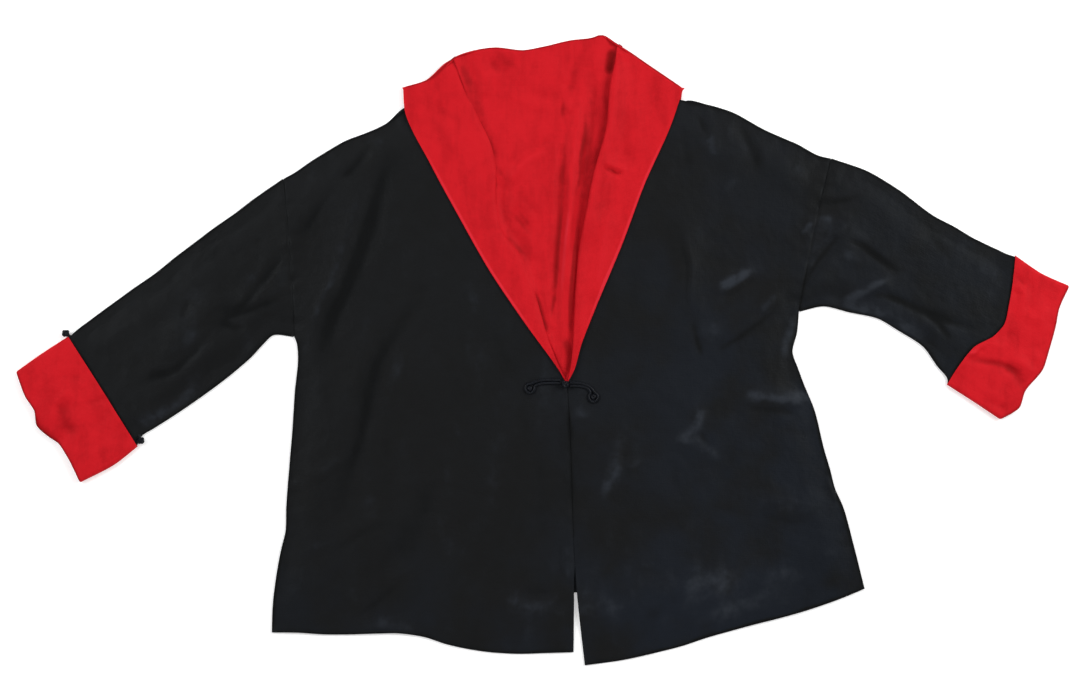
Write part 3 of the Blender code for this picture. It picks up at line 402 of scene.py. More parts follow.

# Deep places and a few lit lines of the neck, where only painted shade and highlight follow, as FOLDS
NECK_SHADES = (
    ("right_roll_line", -1.3, 3, (
        (76, 322), (72, 302), (70, 263), (66, 238), (58, 206), (53, 184), (46, 160),
    )),
    ("right_inner_line", -1.5, 5, ((40, 332), (37, 318), (33, 298), (27, 274), (21, 252))),
    ("right_inner_light", 0.7, 5, ((48, 330), (46, 302), (43, 276), (38, 250), (32, 222))),
    ("right_pocket", -5.4, 5.0, ((79, 337), (76, 326), (74, 314), (71, 303))),
    ("low_line", -3.2, 3.2, ((40, 152), (36, 112), (32, 74), (30, 32), (29, -4))),
    ("centre_low_line", -1.7, 2.6, ((22, 168), (19, 140), (16, 108), (14, 72), (12, 50))),
    ("centre_low_light", 1.9, 2.6, ((30, 172), (28, 150), (24, 121), (20, 72), (18, 40))),
    ("band_line", -1.5, 2.6, (
        (44, 286), (46, 262), (47, 240), (42, 214), (40, 190), (34, 164), (31, 140),
    )),
    ("left_roll_band", -0.4, 12, (
        (-92, 318), (-80, 290), (-70, 262), (-60, 234), (-50, 208), (-44, 180),
    )),
    ("left_roll_line", -1.8, 3, ((-76, 258), (-67, 242), (-59, 228), (-50, 206))),
    ("left_roll_down", -1.6, 2.4, ((-51, 214), (-54, 190), (-56, 160))),
    ("left_roll_inner", -1.8, 2.8, ((-52, 206), (-42, 190), (-26, 178))),
    ("left_hollow", -1.5, 5, ((-91, 320), (-86, 304), (-78, 290))),
    ("top_fold", -1.6, 5, ((-54, 334), (-42, 320), (-28, 312))),
    ("centre_mid", -0.8, 3.6, ((28, 244), (26, 230), (22, 212))),
    ("curl_light", 1.5, 2.2, ((36, 262), (31, 240), (36, 216), (35, 196))),
    ("curl_line", -1.2, 2.4, ((24, 284), (22, 262), (28, 244), (33, 222), (30, 200))),
    ("centre_next", -1.0, 3.4, ((27, 222), (23, 204), (19, 180))),
    ("centre_right", -1.1, 3.4, ((47, 242), (43, 222), (37, 200))),
    ("tip", -2.6, 5, ((20, 20), (29, -4), (30, -20), (28, -36))),
    ("low_first", -2.0, 2.6, ((-10, 72), (-5, 52), (1, 31), (10, 10))),
    ("low_second", -1.8, 2.4, ((15, 66), (11, 48), (7, 26))),
    ("left_first", -1.1, 2.4, ((-30, 157), (-21, 146), (-12, 136))),
    ("left_second", -1.1, 2.6, ((-42, 128), (-31, 116), (-20, 104))),
    ("diagonal", -1.0, 2.6, ((-40, 160), (-24, 140), (-10, 116))),
)

# Free edges of the collar's leaves, where only a painted highlight follows, as FOLDS
RIM_HIGHLIGHTS = (
    ("left_rim", 4.6, 1.8, ((-154, 272), (-151, 262)) + moved(OUTER_LEFT[-3:0:-1], 1.6, 0.8)),
    ("right_rim", 4.6, 1.8, ((152, 290),) + moved(OUTER_RIGHT[-2:0:-1], -1.6, 0.6)),
)

# Large folds of the collar's leaves, as FOLDS
LEAF_FOLDS = (
    ("right_roll_rise", 4.6, 13, ((82, 330), (79, 292), (71, 240), (60, 195), (50, 150), (44, 110))),
)

# Creases of the collar's leaves, as FOLDS, which also paint highlight and shade
LEAF_CREASES = (
    ("right_nick", 1.2, 3, ((70, 208), (80, 203), (94, 198))),
    ("right_nick_shade", -2.6, 2.4, ((66, 203), (76, 198), (90, 193))),
    ("left_slant", 1.3, 6, ((-118, 262), (-108, 240), (-92, 218))),
    ("left_low_slant", 1.0, 7, ((-60, 128), (-44, 104), (-34, 80))),
    ("left_slant_dark", -0.9, 6, ((-124, 276), (-110, 262), (-92, 250), (-84, 236))),
    ("left_mid_dark", -0.8, 8, ((-112, 214), (-92, 190), (-70, 160), (-60, 134))),
    ("left_upper_dark", -0.8, 9, ((-104, 308), (-98, 288), (-96, 266))),
    ("left_long_light", 0.9, 8, ((-88, 262), (-80, 226), (-66, 190), (-62, 160))),
    ("right_upper_dark", -0.7, 9, ((112, 306), (122, 284), (124, 262))),
    ("right_mid_dark", -0.8, 8, ((84, 230), (96, 214), (112, 204))),
    ("right_inner_dark", -0.3, 7, ((66, 190), (64, 160), (58, 128), (54, 98))),
    ("right_soft", 1.1, 9, ((96, 286), (104, 250), (98, 210))),
    ("right_low_soft", 2.3, 9, ((72, 158), (68, 122), (64, 90), (56, 50))),
)

# Creases of the cuffs, as FOLDS, which also paint highlight and shade
CUFF_CREASES = (
    ("left_notch", -1.9, 6, ((-566, -72), (-560, -86), (-546, -98), (-530, -108))),
    ("left_diagonal", -1.1, 6, ((-542, -40), (-536, -62), (-524, -96))),
    ("left_mid", 0.9, 7, ((-550, -40), (-524, -52), (-500, -62))),
    ("left_low", -0.8, 7, ((-536, -92), (-510, -86), (-482, -78))),
    ("left_edge", 1.6, 5, ((-524, 10), (-488, -46), (-454, -102))),
    ("left_small_first", -0.9, 5, ((-536, -26), (-522, -32), (-508, -30))),
    ("left_small_second", -0.9, 4, ((-512, -62), (-498, -57), (-482, -54))),
    ("left_small_third", -0.6, 7, ((-538, -60), (-530, -80), (-522, -100))),
    ("left_small_fourth", 1.0, 5, ((-540, -62), (-532, -52), (-524, -46))),
    ("right_dimple", -2.2, 4, ((466, -6), (480, -11), (493, -14), (510, -17), (521, -23), (528, -36))),
    ("right_spot", 1.8, 5, ((466, 0), (474, -3), (484, -4))),
    ("right_dimple_edge", 1.2, 6, ((486, -2), (498, 4), (512, 2))),
    ("right_fold", -1.6, 6, ((506, -18), (524, -26), (534, -44))),
    ("right_fold_light", 1.4, 6, ((514, -8), (534, -14), (546, -30))),
    ("right_upper", 1.1, 6, ((530, 78), (532, 56), (528, 34))),
    ("right_upper_dark", -1.0, 5, ((538, 82), (542, 60), (538, 38))),
    ("right_wrist", 1.0, 6, ((558, 50), (552, 22), (546, 0))),
    ("right_low", 0.9, 7, ((476, -34), (494, -48), (512, -54))),
    ("right_small_trough", -1.2, 3, ((522, 84), (530, 76), (536, 66))),
    ("right_small_first", -1.1, 3, ((521, 66), (527, 61), (533, 62))),
    ("right_small_second", -0.9, 4, ((512, 12), (520, 18), (528, 14))),
    ("right_small_third", -0.9, 3.5, ((484, -6), (492, 4), (496, 14))),
    ("right_small_fourth", 1.2, 5, ((536, 40), (546, 34), (556, 36))),
    ("right_small_fifth", -1.0, 4, ((530, -6), (540, -12), (546, -22))),
    ("right_low_dark", -1.0, 4, ((494, -58), (504, -62), (514, -66))),
    ("right_edge", 1.6, 4, ((524, 100), (516, 50), (500, 14), (470, -8), (450, -36))),
)

# Free edges of the cuffs that only the shade follows, as FOLDS
CUFF_EDGES = (
    ("left_wrist", -3.0, 2.2, CUFF_LEFT_WRIST),
    ("right_wrist", -3.0, 2.2, CUFF_RIGHT_WRIST),
)

# Creases of the back's underside, as FOLDS
BACK_CREASES = (
    ("left_shoulder_drop", 0.9, 14, ((-200, 190), (-214, 110), (-230, 30))),
    ("right_shoulder_drop", 0.9, 13, ((210, 200), (222, 120), (236, 40))),
    ("left_waist", 0.8, 15, ((-210, -60), (-140, -90), (-60, -96))),
    ("right_waist", 0.8, 14, ((90, -70), (160, -96), (240, -84))),
    ("centre_drape", 0.7, 18, ((10, 200), (2, 100), (14, 0), (6, -110))),
    ("left_hip", 0.7, 13, ((-230, -160), (-180, -200), (-120, -220))),
    ("right_hip", 0.7, 13, ((130, -170), (200, -196), (280, -190))),
    ("yoke_left", 0.6, 16, ((-150, 210), (-80, 196), (-20, 206))),
    ("yoke_right", 0.6, 16, ((30, 214), (90, 200), (150, 212))),
)
FOLD_SECTION = (  # of the fall's top edge: depth inside the top line, share of the crest, lift
    (1.6, 0.0, 0.0), (1.0, 0.0, 0.2), (0.8, 0.0, 0.8), (0.8, 0.6, 0.0), (1.0, 1.0, -2.4),
    (1.8, 1.0, -1.9),
)
TURN_SECTION = (  # of the upper cloths' top edge: depth inside the top line, drop
    (3.6, 0.0), (2.4, 0.08), (1.4, 0.3), (0.7, 0.75), (0.25, 1.4), (0.05, 2.2), (0.0, 3.0),
)
TURN_LOWEST = 1.4  # over the floor

# ------------ trimmings and stage, mm
RAY_FROM = 100.0  # over the floor, from where a cord's place on the cloth is looked for
CURL_RADIUS = 5.2  # of the round that each half of the frog ends in
CURL_GAP = 0.12  # radians that a curl stands open beyond its two cords
CURL_POINTS = 15
CORD_APART = 0.2  # between the two cords of a frog's half
CORD_REST = 0.46  # height of a laid cord's middle over the cloth, share of its diameter
BEND_SHARES = (0.0, 0.2, 0.4, 0.6, 0.8)  # where a cord's bend has its points
COIL_START = 0.98  # cord diameters inside the curl where its coil starts
COIL_CLOSING = 0.22  # share of its radius that the coil loses in each half turn
COIL_TURN = 2.2  # half turns that it makes
COIL_POINTS = 14
COIL_CORD = 0.9  # its cord's diameter, share of the frog's
FROG_REACH = 5.4  # from the button's middle to the cords' ends
BUTTON_TURN = 0.4  # radians
KNOT_LEADS = 3  # times that a knotted ball's cord goes round it
KNOT_BIGHTS = 4  # times that it swings up and down on the way
KNOT_REACH = 0.95  # radians of latitude that it swings to
KNOT_CORD = 0.27  # its diameter, share of the ball's
KNOT_LIFT = 0.065  # how far it passes over and under itself, share of the ball's diameter
KNOT_POINTS = 96
KNOT_CORE = 1.02  # radius of the ball's core, share of the cord's mean radius
STEM = 3.4  # diameter of a cuff knot's stem
CUFF_KNOT_FULL = 1.55  # how much fuller the wound knots are than their plain solids
CUFF_KNOT_CLEAR = 0.2  # over the floor
CUFF_KNOT_TURN = 1.1  # radians
THREAD = 0.42  # diameter of the stitches' thread
THREAD_RISE = 0.1  # of a stitch's middle over the cloth, share of the thread
STITCHES = (  # piece, its cloth, its finish, spacing, line that it is set in from, and how far
    ("left_collar_stitches", "left_leaf", "red_silk", 5.5, OUTER_LEFT[1:-1], (4.2, 2.6)),
    ("right_collar_stitches", "right_leaf", "red_silk", 5.5, OUTER_RIGHT[1:-1], (-4.2, 2.0)),
    ("left_hem_stitches", "left_front", "black_satin", 7.0, HEM_LEFT[1:], (0.0, 14.0)),
    ("right_hem_stitches", "right_front", "black_satin", 7.0, HEM_RIGHT[:-1], (0.0, 14.0)),
    ("left_edge_stitches", "left_front", "black_satin", 7.0, FRONT_EDGE_LEFT[:-1], (-5.0, 0.0)),
    ("right_edge_stitches", "right_front", "black_satin", 7.0, FRONT_EDGE_RIGHT[:-1], (5.0, 0.0)),
)
VIEW_CENTRE = (-3.3, 8.9)
FLOOR_DROP = 0.4  # of the floor under the cloth, so that they don't touch
LIGHTS = (  # name, azimuth and elevation in degrees, distance and size in m, share of the power
    ("right", 24.0, 44.0, 2.5, 1.3, 1.0),
    ("left", 158.0, 46.0, 2.5, 1.3, 0.72),
    ("front", 268.0, 40.0, 2.8, 1.8, 0.3),
    ("rim", 88.0, 36.0, 2.8, 1.6, 0.3),
)

# ------------ layers, mm
WALL = 1.0  # outer cloth and lining together
GAP = 0.35  # between two layers
CLEAR = 0.1  # beyond the gap, where two layers slide along each other
LAYER = WALL + GAP + CLEAR
BACK_TOP = WALL + GAP
ON_FLOOR = 0.05  # under a front that hangs past the back's hem
OVERHANG_START = 22.0  # past the back hem, where a front starts to sink to the floor
OVERHANG_END = 52.0  # and where it has sunk
LOFT = 2.6  # air between back and front in the body
HEM_LOFT = 0.25  # share of it at a hem
EDGE_REACH = 34.0  # from a side seam or shoulder to the full loft
HEM_REACH = 60.0  # from a hem to the full loft
EDGE_TURN = 0.3  # width of the bevel that rounds a wall's edges
EDGE_ANGLE = 55.0  # degrees between two faces, from which their edge is rounded

# Folds, creases and soft unevenness
SOFTEN = 0.85  # how far a curve rounds the corners of its line, 0 to 1
LARGE_FOLDS = 0.4  # share of FOLDS' heights that this silk keeps
FOLD_REACH = 14.0  # from a seam to the full height of a fold
FOLD_SPREAD = 3.0  # half widths from its crest, where a fold has run out
CREASE_REACH = 4.0  # from a seam to the full height of a fine crease
SHARP_ENDS = 0.2  # share of a short crease that it takes to fade at each end
SHADE_ENDS = 0.02  # the same for a line that only the shade follows
SHADE_STEPS = 150  # points that such a line is drawn through
EDGE_STEPS = 70  # the same for a seamed edge
TOP_STEPS = 240  # and for the collar's top line
FAR = 1e9  # further than any place
NEXT_LINE = 1000.0  # added to the length along a line for each line before it
RASTER = 1.5  # spacing of the raster that holds the upper layer's heights
RASTER_MARGIN = 24.0  # how far it reaches past the jacket
EVEN_PASSES = 16  # times that the large folds are evened out on it
PUCKER_WAVES = ((1.0, 2.6, 0.0), (0.7, 4.3, 1.7), (0.5, 9.7, 0.0))  # height, length, start
PUCKER_REACH = 9.0  # from a seam, where its ripples have faded
PUCKER_CLEAR = 2.5  # from a seam, where they have risen
SATIN_WAVES = ((1.0, 62.0, 3.1), (0.35, 21.0, 7.7), (0.2, 10.0, 2.9))  # height, length, seed
BACK_WAVES = ((0.5, 70.0, 11.3),)
CUFF_WAVES = ((0.5, 34.0, 5.2), (0.2, 13.0, 2.2))
LINING_WAVES = ((0.5, 38.0, 9.4), (0.22, 14.0, 4.4))
LEAF_WAVES = ((0.22, 40.0, 8.1), (0.08, 15.0, 1.4))

# Back and fronts
BACK_CREASE_REACH = 40.0  # from the back's edges to the full height of its creases
NECK_MIDDLE = 10.0  # x of the neck's middle
NECK_FLAT = 90.0  # how far to each side of it the back stays flat
NECK_FLAT_DOWN = -60.0  # y that it stays flat down to
NECK_FLAT_RUN = 40.0
V_POINT_Y = -39.0
CORNER = 0.58  # share of a front's rows below the underarm and the V's point
LAP = 2.5  # how far the left front reaches in under the right one, above LAP_FROM
LAP_FROM = -262.0
LAP_RUN = 40.0
LAP_END = 4.0  # length over which the lap ends, below the V's point
UNDER_LEAF = (1.8, 7.2)  # from the roll to a front's edge under the leaf: at the V, and above
UNDER_LEAF_RUN = 80.0

# Sleeves
SEAM_END = 1.0  # between a sleeve and its front at both ends of the armhole
SEAM_DEPTH = 0.45  # of the soft groove along the armhole
SEAM_FADE = 8.0  # over the underarm, where the groove has its full depth
SEAM_STEP = 0.4  # between the first two rings of a sleeve below the seam
SEAM_TOP_FROM = 1.2  # over the back's top, where a sleeve's first ring counts as its upper layer
SEAM_ROUND = 1.28  # half the height of a sleeve's folded edges at the armhole
SLEEVE_ROUND = 1.7  # and further down
SEAM_RUN = 30.0
EDGE_POINTS = 6  # round a tube's folded edge
TUCK = 2.5  # how far a sleeve's top reaches in under the front
TUCK_DROP = 0.15  # below the front's wall
SLEEVE_SHORT = 5.0  # of the cuff's wrist fold
SLEEVE_RINGS = 8  # inside the cuff
LIFT_RUN = 22.0  # over which a sleeve rises into its cuff

# Cuffs
CUFF_DEPTH = 70.0
CUFF_AIR = 2.0  # between a cuff and the sleeve inside it
CUFF_AIR_RUN = 0.3  # share of the cuff's depth that this air opens over
CUFF_EDGE_TOP = 7.0
CUFF_WRIST_TOP = 9.0
CUFF_RETURN = 11.0  # how far a cuff runs back inside its sleeve
CUFF_FOLD = (3.0 * WALL + 2.0 * GAP + 0.2) / 2.0  # radius of the wrist fold
CUFF_TURN = (70.0, -90.0, 9)  # degrees that the fold's rings start and end at, and their number
CUFF_SINK = 0.3  # that a crease may sink at the cuff's free edge
CUFF_SINK_RUN = 22.0  # from there to where it may sink by CUFF_AIR more
CUFF_CREASE_REACH = 12.0  # from the cuff's two sides to the full height of its creases

# Lining in the neck
LINING_MARGIN = (8.0, 3.0)  # how far it reaches out past the rolls: low, and above
LINING_NARROWS = 150.0  # y where that changes
LINING_WIDTH = 170.0  # that its columns are counted for
LINING_SPREAD = (8.0, 12.0)  # how far its top reaches out past the left and right side
LINING_FOOT = 16.0  # how far it reaches down past the rolls' ends
LINING_AIR = 2.4  # under it
LINING_RISE = (10.0, 28.0)  # from its left and right side to the full air
LINING_ENDS = 0.12  # share of a crease's length that it takes to fade at each end
LINING_SINK = 0.4  # that a crease may sink into the back
LINING_TOP_Y = 292.0  # seam between the lining and the stand
STAND_TOP = 4.0
STAND_FROM = 40.0  # below the seam, where the lining starts to rise into the stand
STAND_RUN = 50.0
STAND_SINK = 0.8  # of the stand under the right roll
SEAM_LINE = (0.25, 2.2)  # depth and half width of that seam
LEFT_MEET = 3.3  # how far the lining rises to meet the left roll
MEET_SLOPE = 0.65
MEET_INSIDE = (3.6, 12.0)  # inside the leaf's outer edge: where this starts, and its run
MEET_ABOVE = (-44.0, 50.0)  # y where it starts, and its run
POCKET = ((76, 338), (72, 312))  # deep place behind the right roll
POCKET_DEPTH = 1.8
POCKET_REACH = 9.0

# Collar
LEAF_WIDTH = 70.0  # that a leaf's columns are counted for
COLLAR_CLEAR = 0.9  # between a leaf and its front
LEAF_TOP = 6.4
COLLAR_ROLL = 2.8  # radius of the roll
ROLL_LEAST = 1.25  # where the leaf is narrow
ROLL_SHARE = 6.0  # radii that go into a narrow leaf's width
ROLL_TURN = (75.0, -90.0, 10)  # degrees that the roll's rows start and end at, and their number
ROLL_SLOPE = 16.0  # how far from the roll a leaf rises to it
CLOSE_FROM = 15.0  # below the collar's top, where a roll starts to close onto the stand
CLOSE_RUN = 10.0
CLOSE_REACH = 24.0  # from the roll, where that has ended
CLOSE_FADE = 16.0
CLOSE_TOP = STAND_TOP + 0.9
BLEND = 1.0  # how softly a leaf's slope meets the cloth below it
FALL_ROWS = (1.0, 0.13, 14)  # shares of the fall's depth that its rows start and end at, and number


# ------------ sizes and colours
class JacketSizes(bpy.types.PropertyGroup):
    """Sizes of the cloth's grid, its small relief and the trimmings."""

    cell: FloatProperty(
        name="Cloth cell", description="Side of the cells that the upper cloths are laid in",
        default=0.0023, min=0.002, max=0.02, unit="LENGTH",
    )
    back_cell: FloatProperty(
        name="Back cell", description="Side of the cells of the cloths that lie on the floor",
        default=0.0045, min=0.002, max=0.02, unit="LENGTH",
    )
    crease: FloatProperty(
        name="Crease height", description="Factor on the height of the fine creases",
        default=0.45, min=0.0, max=2.0,
    )
    rumple: FloatProperty(
        name="Rumple", description="Height of the cloth's soft unevenness",
        default=0.00045, min=0.0, max=0.002, unit="LENGTH",
    )
    pucker: FloatProperty(
        name="Seam pucker", description="Height of the ripples along a sewn edge",
        default=0.00028, min=0.0, max=0.001, unit="LENGTH",
    )
    cord: FloatProperty(
        name="Frog cord", description="Diameter of the frog's satin cord",
        default=0.0032, min=0.002, max=0.008, unit="LENGTH",
    )
    button: FloatProperty(
        name="Frog button", description="Diameter of the knotted button",
        default=0.0102, min=0.006, max=0.02, unit="LENGTH",
    )
    stitch: FloatProperty(
        name="Stitch", description="Length of one prick stitch",
        default=0.0022, min=0.001, max=0.006, unit="LENGTH",
    )


def cloth_colour(name, description, default):
    """A property for one of the jacket's colours."""
    return FloatVectorProperty(
        name=name, description=description, default=default, size=3, subtype="COLOR", min=0.0, max=1.0,
    )


class JacketColours(bpy.types.PropertyGroup):
    """Colours of the cloths and the cord, with the painted sheen, highlight and shade on the cloths."""

    black: cloth_colour("Black satin", "Satin where it looks neutral", (0.0068, 0.0066, 0.0064))
    # The satin's painted bluish sheen, which also colours the cord's lighter wrinkles
    blue_black: cloth_colour("Satin's painted blue sheen", "Painted bluish sheen of the satin, and the cord's lighter wrinkles", (0.0078, 0.0100, 0.0150))
    # Painted highlight on a crease's crest
    crest: cloth_colour(
        "Satin on a crest", "Painted highlight of satin on a crease's crest", (0.0235, 0.0275, 0.0350),
    )
    # Painted shade down in a crease
    trough: cloth_colour("Satin in a trough", "Painted shade of satin down in a crease", (0.0030, 0.0030, 0.0030))
    red: cloth_colour("Red silk", "Silk of the collar, cuffs and lining", (0.575, 0.0078, 0.0142))
    # The silk's darker mottling, which also carries painted shade in its creases
    deep_red: cloth_colour("Deep red", "The silk's darker mottling, and its painted shade in creases", (0.38, 0.0033, 0.0072))
    # Painted highlight of the silk on a crest and a turned edge
    highlight_red: cloth_colour("Light red", "Painted highlight of the silk on a crest and a turned edge", (0.74, 0.030, 0.050))
    # Painted shade of the silk deep in a fold
    fold_shade_red: cloth_colour("Dark red", "Painted shade of the silk deep in a fold", (0.20, 0.0006, 0.0014))
    cord: cloth_colour("Cord", "Cord of the frog and knots", (0.0034, 0.0034, 0.0040))


class StudioSettings(bpy.types.PropertyGroup):
    """Floor, lights and camera."""

    floor: FloatProperty(
        name="Floor width", description="Side of the plain floor", default=6.0, min=2.0, unit="LENGTH",
    )
    height: FloatProperty(
        name="Camera height", description="Height of the camera over the floor",
        default=5.0, min=1.0, unit="LENGTH",
    )
    view: FloatProperty(
        name="View width", description="Width of the floor that the camera sees",
        default=1.199, min=0.2, unit="LENGTH",
    )
    power: FloatProperty(
        name="Light", description="Power of the main light, in watts", default=36.0, min=0.0,
    )
    fill: FloatProperty(
        name="Fill", description="Brightness of the room around the floor", default=0.25, min=0.0,
    )


# ------------ curves and distances
def smooth(value):
    """0 below 0, 1 above 1, with an even start and end."""
    t = np.clip(value, 0.0, 1.0)
    return t * t * (3.0 - 2.0 * t)


def even(count, start=0.0, end=1.0):
    """Even shares from a start to an end."""
    return np.linspace(start, end, count)


def lengths_along(points):
    """Length of a line up to each of its points."""
    steps = np.linalg.norm(np.diff(points, axis=0), axis=1)
    return np.concatenate([[0.0], np.cumsum(steps)])


def along(points, share):
    """Points at shares of a line's length, on a curve through its points with softened corners."""
    points = np.asarray(points, float)
    run = lengths_along(points)
    at = np.clip(np.asarray(share, float), 0.0, 1.0) * run[-1]
    step = np.diff(run)[:, None]
    chord = np.diff(points, axis=0) / step
    inner = (chord[1:] * step[:-1] + chord[:-1] * step[1:]) / (step[1:] + step[:-1])
    slope = SOFTEN * np.vstack([chord[:1], inner, chord[-1:]])
    piece = np.clip(np.searchsorted(run, at, side="right") - 1, 0, len(step) - 1)
    size = step[piece]
    t = ((at - run[piece]) / size[..., 0])[..., None]
    start, end = points[piece], points[piece + 1]
    return (
        (2 * t**3 - 3 * t**2 + 1) * start
        + (t**3 - 2 * t**2 + t) * size * slope[piece]
        + (3 * t**2 - 2 * t**3) * end
        + (t**3 - t**2) * size * slope[piece + 1]
    )


def soft_line(points, count=40):
    """A softened line drawn through so many even points."""
    return along(points, even(count))


class Corner(tuple):
    """Two edges that meet at a corner of the panel's outline."""


def along_corner(lower, upper, share):
    """Points along two edges that meet at the share CORNER."""
    below = along(lower, np.minimum(share / CORNER, 1.0))
    above = along(upper, np.maximum((share - CORNER) / (1.0 - CORNER), 0.0))
    return np.where((share <= CORNER)[:, None], below, above)


def distance_to_line(x, y, points):
    """Distance to a line of straight runs, and the share of its length at the nearest point."""
    points = np.asarray(points, float)
    run = lengths_along(points)
    nearest = np.full(np.shape(x), FAR)
    share = np.zeros(np.shape(x))
    for start, end, before in zip(points[:-1], points[1:], run):
        step = end - start
        size = float(step @ step)
        t = np.clip(((x - start[0]) * step[0] + (y - start[1]) * step[1]) / size, 0.0, 1.0)
        away = np.hypot(x - start[0] - t * step[0], y - start[1] - t * step[1])
        closer = away < nearest
        nearest = np.where(closer, away, nearest)
        share = np.where(closer, (before + t * math.sqrt(size)) / run[-1], share)
    return nearest, share


def relief(x, y, folds, ends=0.3, steps=14):
    """Sum of soft folds, each fading towards both ends of its crest, drawn in so many steps."""
    height_sum = np.zeros(np.shape(x))
    for _name, height, half_width, crest in folds:
        line = soft_line(crest, steps)
        low, high = line.min(0) - FOLD_SPREAD * half_width, line.max(0) + FOLD_SPREAD * half_width
        near = (x > low[0]) & (x < high[0]) & (y > low[1]) & (y < high[1])
        away, share = distance_to_line(x[near], y[near], line)
        fade = smooth(share / ends) * smooth((1.0 - share) / ends)
        height_sum[near] += height * fade * np.exp(-((away / half_width) ** 2))
    return height_sum


def rumple(x, y, waves):
    """Sum of even noises, each given as its height, its wave's length in mm and its seed."""
    places = np.column_stack([np.ravel(x), np.ravel(y)])
    total = np.zeros(len(places))
    for height, length, seed in waves:
        total += height * 2.0 * np.array([noise.noise(Vector((*at, seed))) for at in places / length])
    return total.reshape(np.shape(x))


def count_for(length, cell="cell"):
    """Grid points for a length in mm at one of the jacket's cell sizes."""
    return max(4, round(length * MM / getattr(bpy.context.scene.jacket_sizes, cell)) + 1)


def line_length(points):
    """Length of a softened line."""
    return float(lengths_along(soft_line(points))[-1])


# ------------ heights of the layers, mm
SEAMED_EDGES = tuple(
    soft_line(edge, EDGE_STEPS)
    for edge in (
        SHOULDER_LEFT[::-1] + SLEEVE_LEFT_UPPER[1:],
        SIDE_LEFT[:-1] + SLEEVE_LEFT_LOWER,
        SHOULDER_RIGHT[::-1] + SLEEVE_RIGHT_UPPER[1:],
        SIDE_RIGHT[:-1] + SLEEVE_RIGHT_LOWER,
    )
)
HEMS = (soft_line(HEM_LEFT), soft_line(HEM_RIGHT))
SEWN_EDGES = SEAMED_EDGES + (soft_line(ARMHOLE_LEFT), soft_line(ARMHOLE_RIGHT))


def nearest_of(x, y, lines):
    """Distance to the nearest of some lines, and the length along it in mm."""
    away = np.full(np.shape(x), FAR)
    at = np.zeros(np.shape(x))
    for number, line in enumerate(lines):
        distance, share = distance_to_line(x, y, line)
        closer = distance < away
        away = np.where(closer, distance, away)
        at = np.where(closer, share * lengths_along(line)[-1] + NEXT_LINE * number, at)
    return away, at


def support(x, y):
    """Top of what the front's cloth rests on, with the gap added."""
    hem = soft_line(HEM_BACK, 60)
    past_hem = np.interp(x, hem[:, 0], hem[:, 1]) - y
    on_back = 1.0 - smooth((past_hem - OVERHANG_START) / (OVERHANG_END - OVERHANG_START))
    return ON_FLOOR + (BACK_TOP - ON_FLOOR) * on_back


def layer_top(x, y):
    """The upper layer's outer surface with its large folds, which are lower than the solids'."""
    edge, _at = nearest_of(x, y, SEAMED_EDGES)
    hem, _at = nearest_of(x, y, HEMS)
    inside = smooth(edge / EDGE_REACH)
    folds = LARGE_FOLDS * relief(x, y, FOLDS) * smooth(edge / FOLD_REACH)
    loft = LOFT * (HEM_LOFT + (1.0 - HEM_LOFT) * smooth(hem / HEM_REACH))
    return support(x, y) + WALL + np.maximum(loft * inside + folds, 0.0)


def seam_pucker(x, y):
    """Small ripples that run square to the sewn edges."""
    away, at = nearest_of(x, y, SEWN_EDGES)
    depth = bpy.context.scene.jacket_sizes.pucker / MM
    swing = sum(height * np.sin(at / length + start) for height, length, start in PUCKER_WAVES)
    return depth * swing * np.exp(-((away / PUCKER_REACH) ** 2)) * smooth(away / PUCKER_CLEAR)


def even_out(heights, passes):
    """Average each height of a raster with its neighbours, a number of times."""
    for _turn in range(passes):
        for axis in (0, 1):
            before, after = np.roll(heights, 1, axis), np.roll(heights, -1, axis)
            heights = 0.5 * heights + 0.25 * (before + after)
    return heights


class UpperLayer:
    """Outer surface of the fronts and sleeves, worked out once on a raster in mm."""

    def __init__(self):
        sizes = bpy.context.scene.jacket_sizes
        self.low = np.array(CAD_BOX[0][:2]) / MM - RASTER_MARGIN
        high = np.array(CAD_BOX[1][:2]) / MM + RASTER_MARGIN
        x, y = np.meshgrid(*(np.arange(low, top, RASTER) for low, top in zip(self.low, high)))
        large = even_out(layer_top(x, y), EVEN_PASSES)
        edge, _at = nearest_of(x, y, SEAMED_EDGES)
        fine = sizes.crease * relief(x, y, CREASES)
        fine = fine + sizes.rumple / MM * rumple(x, y, SATIN_WAVES) + seam_pucker(x, y)
        lowest = support(x, y) + WALL
        self.heights = lowest + np.maximum(large - lowest + fine * smooth(edge / CREASE_REACH), 0.0)

    def __call__(self, x, y):
        """Heights at places in mm, from the raster by cubic interpolation."""
        at = [(np.asarray(value, float) - low) / RASTER for value, low in zip((x, y), self.low)]
        cell = [np.floor(value).astype(int) for value in at]
        taps = [cubic_weights(value - whole) for value, whole in zip(at, cell)]
        total = 0.0
        for row, row_weight in zip(range(-1, 3), taps[1]):
            for column, weight in zip(range(-1, 3), taps[0]):
                rows = np.clip(cell[1] + row, 0, self.heights.shape[0] - 1)
                columns = np.clip(cell[0] + column, 0, self.heights.shape[1] - 1)
                total = total + row_weight * weight * self.heights[rows, columns]
        return total


def cubic_weights(t):
    """Weights of the four raster points around a share t of the way between the middle two."""
    return (
        ((2.0 - t) * t - 1.0) * t / 2.0,
        ((3.0 * t - 5.0) * t * t + 2.0) / 2.0,
        ((4.0 - 3.0 * t) * t + 1.0) * t / 2.0,
        (t - 1.0) * t * t / 2.0,
    )


LAYERS = {}


def front_top(x, y):
    """Outer surface of the upper layer of fronts and sleeves, with its fine creases."""
    if "upper" not in LAYERS:
        LAYERS["upper"] = UpperLayer()
    return LAYERS["upper"](x, y)


